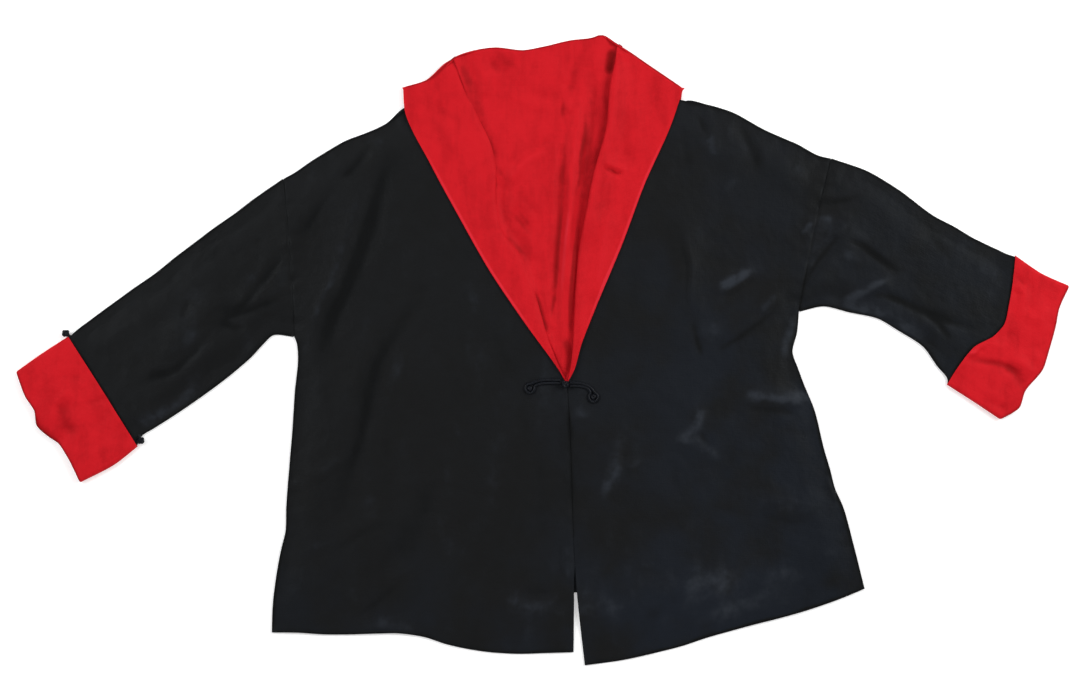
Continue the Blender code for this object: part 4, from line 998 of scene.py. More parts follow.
# ------------ grids and walls
def patch(first, last, start, end, rows, columns):
    """Plan points of a cloth panel between four edges (Coons patch), as shares of their lengths."""
    rows, columns = np.asarray(rows, float), np.asarray(columns, float)
    bottom, top = along(first, columns), along(last, columns)
    left, right = (
        along_corner(*edge, rows) if isinstance(edge, Corner) else along(edge, rows)
        for edge in (start, end)
    )
    v = rows[:, None, None]
    u = columns[None, :, None]
    ruled = (1 - v) * bottom[None] + v * top[None] + (1 - u) * left[:, None] + u * right[:, None]
    corners = np.asarray([(first[0], first[-1]), (last[0], last[-1])], float)
    bottom_run = (1 - u) * corners[0, 0] + u * corners[0, 1]
    top_run = (1 - u) * corners[1, 0] + u * corners[1, 1]
    return ruled - (1 - v) * bottom_run - v * top_run


def corner_rows(count):
    """Even rows below and above the row that joins the underarm to the V's point."""
    below = round(count * CORNER)
    return np.concatenate([even(below, 0.0, CORNER), even(count - below + 1, CORNER)[1:]])


def with_height(plan, height):
    """A grid of plan points raised to one height or to a height each."""
    x, y = plan[..., 0], plan[..., 1]
    return np.dstack([x, y, np.broadcast_to(height, x.shape)])


def cut_of(grid, closed):
    """(width, length) and area in metres of the flat cloth that a grid was cut from."""
    around = np.concatenate([grid, grid[:, :1]], axis=1) if closed else grid
    across = np.linalg.norm(np.diff(around, axis=1), axis=2)
    down = np.linalg.norm(np.diff(around, axis=0), axis=2)
    cells = np.cross(around[1:, 1:] - around[:-1, :-1], around[1:, :-1] - around[:-1, 1:])
    area = np.linalg.norm(cells, axis=2).sum() / 2.0
    return (across.sum(1).max() * MM, down.sum(0).max() * MM), area * MM * MM


def lay_cloth(name, grid, finish, grain=0.0, closed=False, flip=False, offset=-1.0):
    """A wall of cloth through a grid of points in mm, and the size it was cut to.

    The UV map "grain" runs in metres across and along the threads, turned by grain degrees.
    """
    rows, columns = grid.shape[:2]
    across = columns if closed else columns - 1
    order = (3, 2, 1, 0) if flip else (0, 1, 2, 3)
    faces = []
    for row in range(rows - 1):
        for column in range(across):
            after = (column + 1) % columns
            corners = (
                row * columns + column, row * columns + after,
                (row + 1) * columns + after, (row + 1) * columns + column,
            )
            faces.append([corners[index] for index in order])
    mesh = bpy.data.meshes.new(name)
    mesh.from_pydata((grid.reshape(-1, 3) * MM).tolist(), [], faces)
    turn = math.radians(grain)
    flat = grid.reshape(-1, 3)[:, :2] * MM
    threads = np.column_stack([
        flat[:, 0] * math.cos(turn) + flat[:, 1] * math.sin(turn),
        flat[:, 1] * math.cos(turn) - flat[:, 0] * math.sin(turn),
    ])
    layer = mesh.uv_layers.new(name="grain")
    corner_verts = np.empty(len(mesh.loops), np.int32)
    mesh.loops.foreach_get("vertex_index", corner_verts)
    layer.data.foreach_set("uv", threads[corner_verts].ravel())
    piece = bpy.data.objects.new(name, mesh)
    bpy.context.scene.collection.objects.link(piece)
    mesh.materials.append(finish)
    wall = piece.modifiers.new("wall", "SOLIDIFY")
    wall.thickness = WALL * MM
    wall.offset = offset
    wall.use_even_offset = False
    turned = piece.modifiers.new("turned edge", "BEVEL")
    turned.width = EDGE_TURN * MM
    turned.segments = 2
    turned.limit_method = "ANGLE"
    turned.angle_limit = math.radians(EDGE_ANGLE)
    turned.harden_normals = True
    piece.data.shade_smooth()
    apply_modifiers(piece)
    return piece, cut_of(grid, closed)


def mark_folds(piece, *tables, edges=()):
    """Attribute "fold", painted as highlight above 0, up on a fine crease, and as shade below 0, down in
    one or at an edge.
    """
    mesh = piece.data
    spots = np.empty(3 * len(mesh.vertices), np.float32)
    mesh.vertices.foreach_get("co", spots)
    x, y = spots.reshape(-1, 3)[:, :2].T / MM
    fold = sum(relief(x, y, table) for table in tables)
    fold = fold + relief(x, y, SEAM_SHADES + edges, SHADE_ENDS, SHADE_STEPS)
    mesh.attributes.new("fold", "FLOAT", "POINT").data.foreach_set("value", fold.astype(np.float32))


def only(piece):
    """Select one object alone and make it the active one."""
    bpy.ops.object.select_all(action="DESELECT")
    piece.select_set(True)
    bpy.context.view_layer.objects.active = piece


def apply_modifiers(piece):
    """Apply all of a piece's modifiers, in their order."""
    only(piece)
    for modifier in list(piece.modifiers):
        bpy.ops.object.modifier_apply(modifier=modifier.name)


def place_on_jacket(piece, slot, *nodes):
    """Put a piece on the jacket's one body, in place of its solids if any."""
    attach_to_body(piece, "root")
    if nodes:
        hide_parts(*nodes)


def sew_in(piece, slot, nodes):
    """Make a cloth piece stand for its solids."""
    place_on_jacket(piece, slot, *nodes)


# ------------ materials
def maths(tree, operation, *values):
    """A Math node on values and wires."""
    node = tree.nodes.new("ShaderNodeMath")
    node.operation = operation
    for value, socket in zip(values, node.inputs):
        attach(tree, value, socket)
    return Wire(tree, node.outputs[0])


def attach(tree, value, socket):
    """Link a wire to a socket, or set the socket's own value."""
    if isinstance(value, Wire):
        tree.links.new(value.socket, socket)
    else:
        socket.default_value = value


class Wire:
    """One output in a material's nodes, whose arithmetic adds Math nodes."""

    def __init__(self, tree, socket):
        self.tree = tree
        self.socket = socket

    def __add__(self, other):
        return maths(self.tree, "ADD", self, other)

    def __sub__(self, other):
        return maths(self.tree, "SUBTRACT", self, other)

    def __rsub__(self, other):
        return maths(self.tree, "SUBTRACT", other, self)

    def __mul__(self, other):
        return maths(self.tree, "MULTIPLY", self, other)

    __radd__ = __add__
    __rmul__ = __mul__

    def sine(self):
        """Sine of the wire, in radians."""
        return maths(self.tree, "SINE", self)

    def ramp(self, low, high):
        """0 where the wire is low, 1 where it is high, even between."""
        node = self.tree.nodes.new("ShaderNodeMapRange")
        node.interpolation_type = "SMOOTHSTEP"
        for value, socket in zip((self, low, high), node.inputs):
            attach(self.tree, value, socket)
        return Wire(self.tree, node.outputs[0])


class Finish:
    """A material and the nodes that feed its Principled shader."""

    def __init__(self, name, **constants):
        self.material = bpy.data.materials.new(name)
        self.material.use_nodes = True
        self.tree = self.material.node_tree
        self.shader = self.tree.nodes["Principled BSDF"]
        self.feed(**constants)

    def feed(self, **values):
        """Set or link the shader's sockets; a name's underscores stand for spaces."""
        for name, value in values.items():
            attach(self.tree, value, self.shader.inputs[name.replace("_", " ")])

    def node(self, kind, settings=(), out=0, **values):
        """Any other node: its type, its settings, and the values or links of its sockets."""
        node = self.tree.nodes.new("ShaderNode" + kind)
        for name, value in dict(settings).items():
            setattr(node, name, value)
        for name, value in values.items():
            attach(self.tree, value, node.inputs[name.replace("_", " ")])
        return Wire(self.tree, node.outputs[out])

    def place(self):
        """Coordinates of the piece itself, in metres."""
        return self.node("TexCoord", out=3)

    def threads(self, across, lengthwise):
        """Thread coordinates of the cloth, stretched to the given counts for each metre."""
        grain = self.node("UVMap", {"uv_map": "grain"})
        return self.node("Mapping", Vector=grain, Scale=(across, lengthwise, 1.0))

    def noise(self, at, scale, detail=2.0, roughness=0.5):
        """Noise of about 0.3 to 0.7 around 0.5, with so many waves for each metre."""
        return self.node("TexNoise", Vector=at, Scale=scale, Detail=detail, Roughness=roughness)

    def blend(self, factor, first, second):
        """A colour between two colours."""
        node = self.tree.nodes.new("ShaderNodeMix")
        node.data_type = "RGBA"
        for value, socket in zip((factor, first, second), (node.inputs[0], *node.inputs[6:8])):
            attach(self.tree, value, socket)
        return Wire(self.tree, node.outputs[2])

    def axis(self, at, number):
        """One of a vector's three numbers."""
        return self.node("SeparateXYZ", out=number, Vector=at)


def opaque(colour):
    """A colour with full alpha."""
    return (*colour, 1.0)


def black_satin():
    """Warp-faced silk satin: long floats, a soft crinkled gloss, a painted blue sheen to the right, and
    painted highlight and shade.
    """
    colours = bpy.context.scene.jacket_colours
    finish = Finish("black_satin", Specular_IOR_Level=0.11, Specular_Tint=(0.86, 0.94, 1.0, 1.0))
    at = finish.place()
    floats = finish.noise(finish.threads(1500.0, 90.0), 1.0)
    picks = finish.axis(finish.threads(1.0, 7000.0), 1).sine()
    cloudy = finish.noise(at, 9.0, 4.0, 0.6)
    crinkle = finish.noise(at, 70.0, 4.0, 0.6)
    slubs = finish.noise(finish.threads(60.0, 800.0), 1.0, 1.0)
    # The attribute fold says where highlight and shade are painted
    fold = finish.node("Attribute", {"attribute_name": "fold"}, out=2)
    towards_right = finish.axis(at, 0).ramp(-0.12, 0.3)
    towards_hem = (finish.axis(at, 1) * -1.0).ramp(0.16, 0.32)
    broken = finish.noise(at, 55.0, 5.0, 0.65)
    # Long soft bands of painted light and shade, from noise
    hanging = finish.node("Mapping", Vector=at, Rotation=(0.0, 0.0, 0.25), Scale=(30.0, 12.0, 12.0))
    fold = fold + (finish.noise(hanging, 1.0, 4.0, 0.6) - 0.5) * 3.2
    # Painted bluish sheen, stronger towards the right and the hem, broken up by noise
    below = (finish.axis(at, 1) * -1.0).ramp(-0.24, 0.06)
    cast = towards_right * (below * 0.5 + 0.3) + towards_hem * 0.4 + 0.06
    cast = cast * cloudy.ramp(0.36, 0.62) + crinkle * 0.12
    # Painted highlight on the crests of creases and in noisy patches
    ragged = finish.noise(at, 85.0, 1.0, 0.5)
    lit = (fold * (broken * 1.5 + 0.25) * ragged * 2.0 + (broken - 0.5) * 1.2).ramp(0.1, 3.2)
    # Painted shade in creases, along seams and at the edges; the cloth is also darker away from the
    # middle, towards the sleeves
    sunk = fold * -1.0
    in_sleeve = (finish.axis(at, 0) * finish.axis(at, 0)).ramp(0.02, 0.12)
    deep = in_sleeve * 0.3 + sunk.ramp(0.0, 2.1) * 0.95
    tone = finish.blend(cast, opaque(colours.black), opaque(colours.blue_black))
    tone = finish.blend(lit, tone, opaque(colours.crest))
    tone = finish.blend(deep, tone, opaque(colours.trough))
    dull = 0.36 + cloudy * 0.14 + crinkle * 0.06 + sunk.ramp(0.5, 2.4) * 0.3
    finish.feed(Base_Color=tone, Roughness=dull)
    height = crinkle + floats * 0.12 + picks * 0.03 + slubs * 0.14
    finish.feed(Normal=finish.node("Bump", Strength=0.42, Distance=0.0018, Height=height))
    return finish.material


def red_silk():
    """Plain-weave silk with slubs in the weft and soft mottling, and painted shade and highlight on its
    creases and edges.
    """
    colours = bpy.context.scene.jacket_colours
    finish = Finish("red_silk", Specular_IOR_Level=0.08, Sheen_Weight=0.05, Sheen_Roughness=0.4)
    finish.feed(Sheen_Tint=(1.0, 0.22, 0.3, 1.0))
    at = finish.place()
    mottle = finish.noise(at, 60.0, 5.0, 0.62)
    broad = finish.noise(at, 8.0, 3.0)
    weft = finish.noise(finish.threads(34.0, 700.0), 1.0, 2.0)
    warp = finish.noise(finish.threads(1100.0, 40.0), 1.0, 2.0)
    across = finish.axis(finish.threads(9000.0, 1.0), 0).sine()
    weave = across * finish.axis(finish.threads(1.0, 9000.0), 1).sine()
    fold = finish.node("Attribute", {"attribute_name": "fold"}, out=2)
    hanging = finish.node("Mapping", Vector=at, Rotation=(0.0, 0.0, -0.15), Scale=(85.0, 20.0, 40.0))
    drawn = finish.noise(hanging, 1.0, 4.0, 0.6)
    # shade holds the silk's own mottling and, from the attribute fold, painted shade in creases and
    # painted light on crests
    shade = mottle.ramp(0.36, 0.66) * 0.2 + weft.ramp(0.4, 0.7) * 0.05 + broad.ramp(0.4, 0.62) * 0.16
    shade = shade + drawn.ramp(0.4, 0.64) * 0.22
    sunk = fold * (-0.6 - mottle * 0.8)
    shade = shade + sunk.ramp(0.0, 3.4) * 0.9 - fold.ramp(0.0, 4.0) * 0.5
    tone = finish.blend(shade.ramp(0.0, 1.0), opaque(colours.red), opaque(colours.deep_red))
    # Painted shade deep in a fold
    tone = finish.blend(sunk.ramp(1.2, 5.0), tone, opaque(colours.fold_shade_red))
    # Painted highlight on a crest and on a leaf's turned edge
    tone = finish.blend(fold.ramp(1.8, 4.2) * 0.5, tone, opaque(colours.highlight_red))
    finish.feed(Base_Color=tone, Roughness=0.5 + mottle * 0.12 + weft * 0.06)
    height = weft * 0.16 + warp * 0.1 + weave * 0.02 + finish.noise(at, 75.0, 4.0, 0.6)
    finish.feed(Normal=finish.node("Bump", Strength=0.5, Distance=0.0022, Height=height))
    return finish.material


def satin_cord():
    """Bias-cut satin over a cord core, with fine slanting wrinkles."""
    colours = bpy.context.scene.jacket_colours
    finish = Finish("black_cord", Specular_IOR_Level=0.13)
    at = finish.place()
    wrinkles = finish.noise(at, 900.0, 2.0)
    turned = finish.node("Mapping", Vector=at, Rotation=(0.0, 0.0, 0.8), Scale=(420.0, 1500.0, 700.0))
    slant = finish.noise(turned, 1.0)
    tone = finish.blend(wrinkles.ramp(0.3, 0.7), opaque(colours.cord), opaque(colours.blue_black))
    finish.feed(Base_Color=tone, Roughness=0.3 + slant * 0.15)
    height = slant * 0.6 + wrinkles * 0.4
    finish.feed(Normal=finish.node("Bump", Strength=0.3, Distance=0.0006, Height=height))
    return finish.material


def plain_floor():
    """Even, nearly white floor."""
    finish = Finish("plain_floor", Roughness=0.9, Specular_IOR_Level=0.1, Emission_Strength=0.3)
    speck = finish.noise(finish.place(), 4.0, 2.0)
    tone = finish.blend(speck * 0.2, (0.93, 0.93, 0.93, 1.0), (0.90, 0.90, 0.90, 1.0))
    finish.feed(Base_Color=tone)
    return finish.material


FINISHES = {}


def finish_named(name):
    """The jacket's materials, each made once."""
    makers = {"black_satin": black_satin, "red_silk": red_silk, "black_cord": satin_cord}
    if name not in FINISHES:
        FINISHES[name] = makers[name]()
    return FINISHES[name]


# ------------ body
def back_panel():
    """The back, from the hem up to the shoulders and just below the collar's fall."""
    neck = moved(FALL_HEM, 0.0, -2.0 * GAP)
    top = SHOULDER_LEFT[:-3] + neck + SHOULDER_RIGHT[:-2][::-1]
    rows = count_for(line_length(SIDE_LEFT[:-1] + ARMHOLE_LEFT), "back_cell")
    columns = count_for(line_length(HEM_BACK), "back_cell")
    plan = patch(
        HEM_BACK, top, Corner((SIDE_LEFT, ARMHOLE_LEFT)), Corner((SIDE_RIGHT, ARMHOLE_RIGHT)),
        corner_rows(rows), even(columns),
    )
    x, y = plan[..., 0], plan[..., 1]
    edge, _at = nearest_of(x, y, SEAMED_EDGES + (soft_line(HEM_BACK), soft_line(FALL_HEM)))
    lift = np.maximum(relief(x, y, BACK_CREASES) + rumple(x, y, BACK_WAVES), 0.0)
    past_neck = np.maximum(np.abs(x - NECK_MIDDLE) - NECK_FLAT, NECK_FLAT_DOWN - y)
    grid = with_height(plan, lift * smooth(edge / BACK_CREASE_REACH) * smooth(past_neck / NECK_FLAT_RUN))
    piece, cut = lay_cloth("back_panel", grid, finish_named("black_satin"), offset=1.0)
    sew_in(piece, "black_satin", ["back"])


def under_leaf(roll, sign):
    """A front's edge under the leaf, a little outside the roll line."""
    low, high = UNDER_LEAF
    return tuple(
        (x + sign * (low + (high - low) * float(smooth((y - V_POINT_Y) / UNDER_LEAF_RUN))), y)
        for x, y in roll
    )


def front_panel(name, node, side, hem, shoulder, inner, flip, grain):
    """One front, from its hem up to the shoulder; the left one laps under the right one."""
    rows, columns = count_for(line_length(side[0][:-1] + side[1])), count_for(line_length(hem))
    plan = patch(hem, shoulder, side, inner, corner_rows(rows), even(columns))
    grid = with_height(plan, front_top(plan[..., 0], plan[..., 1]))
    grid[:, 0, 2] -= SEAM_DEPTH * smooth((grid[:, 0, 1] - side[0][-1][1]) / SEAM_FADE)
    if not flip:
        y = grid[:, -1, 1]
        under = smooth((y - LAP_FROM) / LAP_RUN) * smooth((V_POINT_Y - y) / LAP_END)
        for column, share in ((-1, 1.0), (-2, 0.5)):
            grid[:, column, 0] += LAP * under * share
            grid[:, column, 2] -= (WALL + CLEAR) * under * share
    piece, cut = lay_cloth(name, grid, finish_named("black_satin"), grain, flip=flip)
    mark_folds(piece, CREASES, edges=SATIN_EDGES)
    sew_in(piece, "black_satin", [node])


def fronts():
    """The two fronts, each with its inner edge under its collar leaf."""
    inner = (FRONT_EDGE_LEFT[-1],) + under_leaf(ROLL_LEFT[1:-1], -1.0)
    front_panel(
        "left_front", "front_left", Corner((SIDE_LEFT, ARMHOLE_LEFT)), HEM_LEFT,
        SHOULDER_LEFT[:-1] + (inner[-1],), Corner((FRONT_EDGE_LEFT, inner)), flip=False, grain=1.5,
    )
    inner = (FRONT_EDGE_RIGHT[-1],) + under_leaf(ROLL_RIGHT[1:-2], 1.0)
    front_panel(
        "right_front", "front_right", Corner((SIDE_RIGHT, ARMHOLE_RIGHT)), HEM_RIGHT[::-1],
        SHOULDER_RIGHT[:-1] + (inner[-1],), Corner((FRONT_EDGE_RIGHT, inner)), flip=True, grain=-2.0,
    )


# ------------ sleeves and cuffs
def ring(edges, share, inset, low, high, radius, columns):
    """One closed ring of a flattened tube, from its upper edge over the top and back beneath."""
    ends = patch(*edges, [share], [0.0, 1.0])[0]
    width = float(np.linalg.norm(ends[1] - ends[0]))
    inner_width = width - 2.0 * inset
    rounding = radius * (1.0 - np.cos(even(EDGE_POINTS, 0.0, math.pi / 2.0)))
    middle = np.linspace(radius, inner_width - radius, columns + 2)[1:-1]
    over = np.concatenate([rounding, middle, (inner_width - rounding)[::-1]])
    points = []
    for away, side in ((over, 1.0), (over[-2:0:-1], -1.0)):
        plan = patch(*edges, [share], (inset + away) / width)[0]
        top = high(plan[:, 0], plan[:, 1]) if callable(high) else np.full(len(away), float(high))
        depth = np.clip(1.0 - np.minimum(away, inner_width - away) / radius, 0.0, 1.0)
        half = (top - low) / 2.0 * np.sqrt(1.0 - depth**2)
        points.append(np.column_stack([plan, (top + low) / 2.0 + side * half]))
    return np.concatenate(points)


def line_shares(count, length, last_step):
    """Even shares along a length up to a last step of its own, which is finely divided too."""
    turn = 1.0 - last_step / length
    fine = max(3, round(count * last_step / length))
    return np.concatenate([even(count, 0.0, turn), even(fine + 1, turn)[1:]])


def cuff_edges(cuff):
    """A cuff's elbow and wrist edges and its two sides."""
    elbow, wrist, sides = cuff
    return elbow, wrist, (elbow[0], sides[0], wrist[0]), (elbow[-1], sides[1], wrist[-1])


def cuff_top(share):
    """Height of a cuff's upper surface at a share of its depth."""
    return CUFF_EDGE_TOP + (CUFF_WRIST_TOP - CUFF_EDGE_TOP) * share


def sleeve(name, node, armhole, upper, lower, cuff, flip, grain):
    """A tube from the armhole to just inside the cuff's wrist fold."""
    elbow = cuff[0]
    seam = tuple(
        (x + (-gap if flip else gap), y)
        for (x, y), gap in zip(armhole[::-1], (SEAM_END, 0.0, SEAM_END))
    )
    outside = (
        seam, elbow, (seam[0],) + upper[1:-1] + (elbow[0],), (seam[-1],) + lower[1:-1] + (elbow[-1],),
    )
    inside = cuff_edges(cuff)
    columns = count_for(line_length(seam))
    length = line_length(outside[2])
    rings = []
    for share in line_shares(count_for(length), length, LIFT_RUN):
        start = smooth(share * length / SEAM_RUN)
        radius = SEAM_ROUND + (SLEEVE_ROUND - SEAM_ROUND) * start
        in_cuff = smooth((share * length - length + LIFT_RUN) / LIFT_RUN)

        def high(x, y, radius=radius, in_cuff=in_cuff):
            free = np.maximum(front_top(x, y), 2.0 * radius)
            return free * (1.0 - in_cuff) + (CUFF_EDGE_TOP - LAYER) * in_cuff

        inset = LAYER * in_cuff
        rings.append(ring(outside, share, inset, inset, high, radius + in_cuff, columns))
    for share in even(SLEEVE_RINGS)[1:]:
        top = cuff_top(share) - LAYER - CUFF_AIR * smooth(share / CUFF_AIR_RUN)
        short = share * (1.0 - SLEEVE_SHORT / CUFF_DEPTH)
        rings.append(ring(inside, short, LAYER, LAYER, top, (top - LAYER) / 2.0, columns))
    over = rings[0][:, 2] > BACK_TOP + SEAM_TOP_FROM
    rings[0][over, 2] -= SEAM_DEPTH
    tucked = rings[0].copy()
    tucked[over, 0] += TUCK if flip else -TUCK
    tucked[over, 2] -= WALL + TUCK_DROP
    rings[0][~over, 0] += -SEAM_STEP if flip else SEAM_STEP
    grid = np.array([tucked, *rings])
    piece, cut = lay_cloth(name, grid, finish_named("black_satin"), grain, closed=True, flip=flip)
    mark_folds(piece, CREASES, edges=SATIN_EDGES)
    sew_in(piece, "black_satin", [node])


def turned_cuff(name, node, cuff, folds, flip, grain):
    """A cuff's outer leaf, its wrist fold and the short return inside the sleeve."""
    edges = cuff_edges(cuff)
    columns = count_for(line_length(edges[0]))
    rings = []

    def add_ring(share, sink):
        level = cuff_top(share)

        def high(x, y):
            side = distance_to_line(x, y, edges[2])[0]
            side = np.minimum(side, distance_to_line(x, y, edges[3])[0])
            free_edge = distance_to_line(x, y, edges[0])[0]
            uneven = relief(x, y, folds) + relief(x, y, CUFF_CREASES, SHARP_ENDS)
            uneven = uneven + rumple(x, y, CUFF_WAVES)
            uneven = np.maximum(uneven, -CUFF_SINK - CUFF_AIR * smooth(free_edge / CUFF_SINK_RUN))
            left_over = smooth(side / CUFF_CREASE_REACH) * (1.0 - sink / (2.0 * CUFF_FOLD))
            return level - sink + uneven * left_over

        rings.append(ring(edges, share, sink, sink, high, level / 2.0 - sink, columns))

    for share in even(count_for(CUFF_DEPTH), 0.0, 1.0 - CUFF_FOLD / CUFF_DEPTH):
        add_ring(share, 0.0)
    for turn in np.radians(np.linspace(*CUFF_TURN)):
        back = CUFF_FOLD * (1.0 - math.cos(turn))
        add_ring(1.0 - back / CUFF_DEPTH, CUFF_FOLD * (1.0 - math.sin(turn)))
    add_ring(1.0 - (CUFF_FOLD + CUFF_RETURN) / CUFF_DEPTH, 2.0 * CUFF_FOLD)
    grid = np.array(rings)
    piece, cut = lay_cloth(name, grid, finish_named("red_silk"), grain, closed=True, flip=flip)
    mark_folds(piece, CUFF_CREASES, edges=CUFF_EDGES)
    sew_in(piece, "red_silk", [node])


# ------------ neck and collar
def offset_line(points, depth):
    """A line moved sideways, to the right of its direction, at each of its points."""
    points = np.asarray(points, float)
    run = np.diff(points, axis=0)
    run = run / np.linalg.norm(run, axis=1)[:, None]
    mean = np.vstack([run[:1], run[:-1] + run[1:], run[-1:]])
    mean = mean / np.linalg.norm(mean, axis=1)[:, None]
    return points + depth * np.column_stack([mean[:, 1], -mean[:, 0]])


def inside_top(x_from, x_to):
    """The collar's top line between two x, moved inside by the reach of its turned edge."""
    line = offset_line(soft_line(COLLAR_TOP, 60), TURN_SECTION[0][0])
    x = np.concatenate([[x_from], line[(line[:, 0] > x_from) & (line[:, 0] < x_to), 0], [x_to]])
    return np.column_stack([x, np.interp(x, line[:, 0], line[:, 1])])


def turn_over_top(grid):
    """Carry a cloth's last row out to the collar's top line and down over it."""
    line = soft_line(COLLAR_TOP, TOP_STEPS)
    inner = offset_line(line, TURN_SECTION[0][0])
    last = grid[-1]
    apart = np.linalg.norm(last[:, None, :2] - inner[None], axis=2)
    out = (line - inner)[apart.argmin(axis=1)] / TURN_SECTION[0][0]
    rows = [grid]
    for depth, drop in TURN_SECTION[1:]:
        row = last.copy()
        row[:, :2] += out * (TURN_SECTION[0][0] - depth)
        row[:, 2] = np.maximum(last[:, 2] - drop, TURN_LOWEST)
        rows.append(row[None])
    return np.concatenate(rows)


def neck_lining():
    """The lining in the neck, from the V's point up the back and the stand to the top fold."""

    def margin(y):
        low, high = LINING_MARGIN
        return low + (high - low) * float(smooth((y - LINING_NARROWS) / UNDER_LEAF_RUN))

    left = [(x - margin(y), y) for x, y in ROLL_LEFT[:-1]]
    right = [(x + margin(y), y) for x, y in ROLL_RIGHT[:-2]]
    top = inside_top(left[-1][0] - LINING_SPREAD[0], right[-1][0] + LINING_SPREAD[1])
    left = [(left[0][0], left[0][1] - LINING_FOOT)] + left + [tuple(top[0])]
    right = [(right[0][0], right[0][1] - LINING_FOOT)] + right + [tuple(top[-1])]
    rows, columns = count_for(line_length(left)), count_for(LINING_WIDTH)
    plan = patch((left[0], right[0]), top, left, right, even(rows), even(columns))
    x, y = plan[..., 0], plan[..., 1]
    from_left, from_right = (
        distance_to_line(x, y, side)[0] / rise for side, rise in zip((left, right), LINING_RISE)
    )
    lowest = BACK_TOP + WALL
    air = LINING_AIR * smooth(from_left) * smooth(from_right)
    in_stand = smooth((y - LINING_TOP_Y + STAND_FROM) / STAND_RUN)
    base = lowest + air + (STAND_TOP - lowest - air) * in_stand
    inside = distance_to_line(x, y, OUTER_LEFT)[0]
    meeting = smooth((inside - MEET_INSIDE[0]) / MEET_INSIDE[1])
    meeting = meeting * smooth((y - MEET_ABOVE[0]) / MEET_ABOVE[1])
    base = base + LEFT_MEET * (1.0 - smooth(from_left * MEET_SLOPE)) * meeting
    base = base - STAND_SINK * (1.0 - smooth(from_right)) * in_stand
    folds = relief(x, y, LINING_FOLDS) + relief(x, y, LINING_CREASES, LINING_ENDS)
    folds = folds + rumple(x, y, LINING_WAVES)
    folds = folds - SEAM_LINE[0] * np.exp(-(((y - LINING_TOP_Y) / SEAM_LINE[1]) ** 2))
    pocket = POCKET_DEPTH * np.exp(-((distance_to_line(x, y, POCKET)[0] / POCKET_REACH) ** 2))
    height = base + np.maximum(folds, lowest - LINING_SINK - base) - pocket
    grid = turn_over_top(with_height(plan, height))
    piece, cut = lay_cloth("neck_lining", grid, finish_named("red_silk"))
    mark_folds(piece, LINING_CREASES, NECK_SHADES)
    sew_in(piece, "red_silk", ["back_lining", "collar_stand"])


def soft_max(first, second):
    """The larger of two heights, rounded over where they meet."""
    return 0.5 * (first + second + np.sqrt((first - second) ** 2 + BLEND**2))


def leaf_top(x, y, roll, roll_top):
    """Outer surface of a collar leaf lying on the front, rising towards its roll."""
    away, _share = distance_to_line(x, y, soft_line(roll))
    rise = (roll_top - LEAF_TOP) * np.exp(-((away / ROLL_SLOPE) ** 2))
    uneven = relief(x, y, LEAF_FOLDS + LEAF_CREASES, SHARP_ENDS) + rumple(x, y, LEAF_WAVES)
    return soft_max(front_top(x, y) + COLLAR_CLEAR + WALL, LEAF_TOP + rise) + uneven


def collar_leaf(name, node, roll, outer, roll_top, softness, flip, grain):
    """One leaf of the shawl collar: its flat fall on the front and the round of its roll.

    softness is how many times wider than high the roll is.
    """
    reach = sorted((roll[-1][0], outer[-1][0]))
    top = [tuple(point) for point in inside_top(*reach)]
    top = top if outer[-1][0] < roll[-1][0] else top[::-1]
    outer = outer[:-1] + (top[0],)
    roll = roll[:-1] + (top[-1],)
    rows, columns = count_for(line_length(outer)), count_for(LEAF_WIDTH)
    plan = patch((outer[0], roll[0]), top, outer, roll, even(rows), even(columns))
    across = plan[:, :1] - plan[:, -1:]
    width = np.linalg.norm(across, axis=2, keepdims=True)
    radius = np.clip((width - WALL) / ROLL_SHARE, ROLL_LEAST, COLLAR_ROLL)
    reach = radius * softness
    flat = plan[:, :1] + (plan - plan[:, :1]) * (1.0 - reach / width)
    heights = leaf_top(flat[..., 0], flat[..., 1], roll, roll_top)
    sections = [np.dstack([flat, heights])]
    for turn in np.radians(np.linspace(*ROLL_TURN)):
        plan_point = plan[:, -1:] + across / width * reach * (1.0 - math.cos(turn))
        height = heights[:, -1:] - radius[..., 0] * (1.0 - math.sin(turn))
        sections.append(np.dstack([plan_point, height]))
    grid = np.concatenate(sections, axis=1)
    below_top = distance_to_line(grid[..., 0], grid[..., 1], COLLAR_TOP)[0]
    from_roll = distance_to_line(grid[..., 0], grid[..., 1], roll)[0]
    closing = smooth((CLOSE_FROM - below_top) / CLOSE_RUN)
    closing = closing * smooth((CLOSE_REACH - from_roll) / CLOSE_FADE)
    height = grid[..., 2]
    closed = height * (1.0 - closing) + CLOSE_TOP * closing
    grid[..., 2] = np.where(height > CLOSE_TOP, closed, height)
    grid = turn_over_top(grid)
    piece, cut = lay_cloth(name, grid, finish_named("red_silk"), grain, flip=flip)
    mark_folds(piece, LEAF_CREASES, RIM_HIGHLIGHTS)
    sew_in(piece, "red_silk", [node])


def collar_fall():
    """The collar behind the back: a flat leaf whose top edge folds up and over."""
    shares = even(count_for(line_length(COLLAR_TOP), "back_cell"))
    edge = along(COLLAR_TOP, shares)
    hem = along(FALL_HEM, shares)
    crest = np.interp(edge[:, 0], [x for x, _y in COLLAR_TOP], CREST_HEIGHTS)
    rows = [
        np.column_stack([edge + (hem - edge) * share, np.zeros(len(edge))])
        for share in np.linspace(*FALL_ROWS)
    ]
    for depth, height_share, lift in FOLD_SECTION:
        rows.append(np.column_stack([offset_line(edge, depth), crest * height_share + lift]))
    piece, cut = lay_cloth("collar_fall", np.array(rows), finish_named("red_silk"), flip=True)
    sew_in(piece, "red_silk", ["collar_back"])


# ------------ cords and knots
def top_of(names, x, y):
    """(point, normal) of the highest surface of some pieces over a place in mm."""
    best = None
    for name in names:
        found, point, normal, _face = bpy.data.objects[name].ray_cast(
            Vector((x * MM, y * MM, RAY_FROM * MM)), Vector((0.0, 0.0, -1.0))
        )
        if found and (best is None or point.z > best[0].z):
            best = (point, normal)
    return best


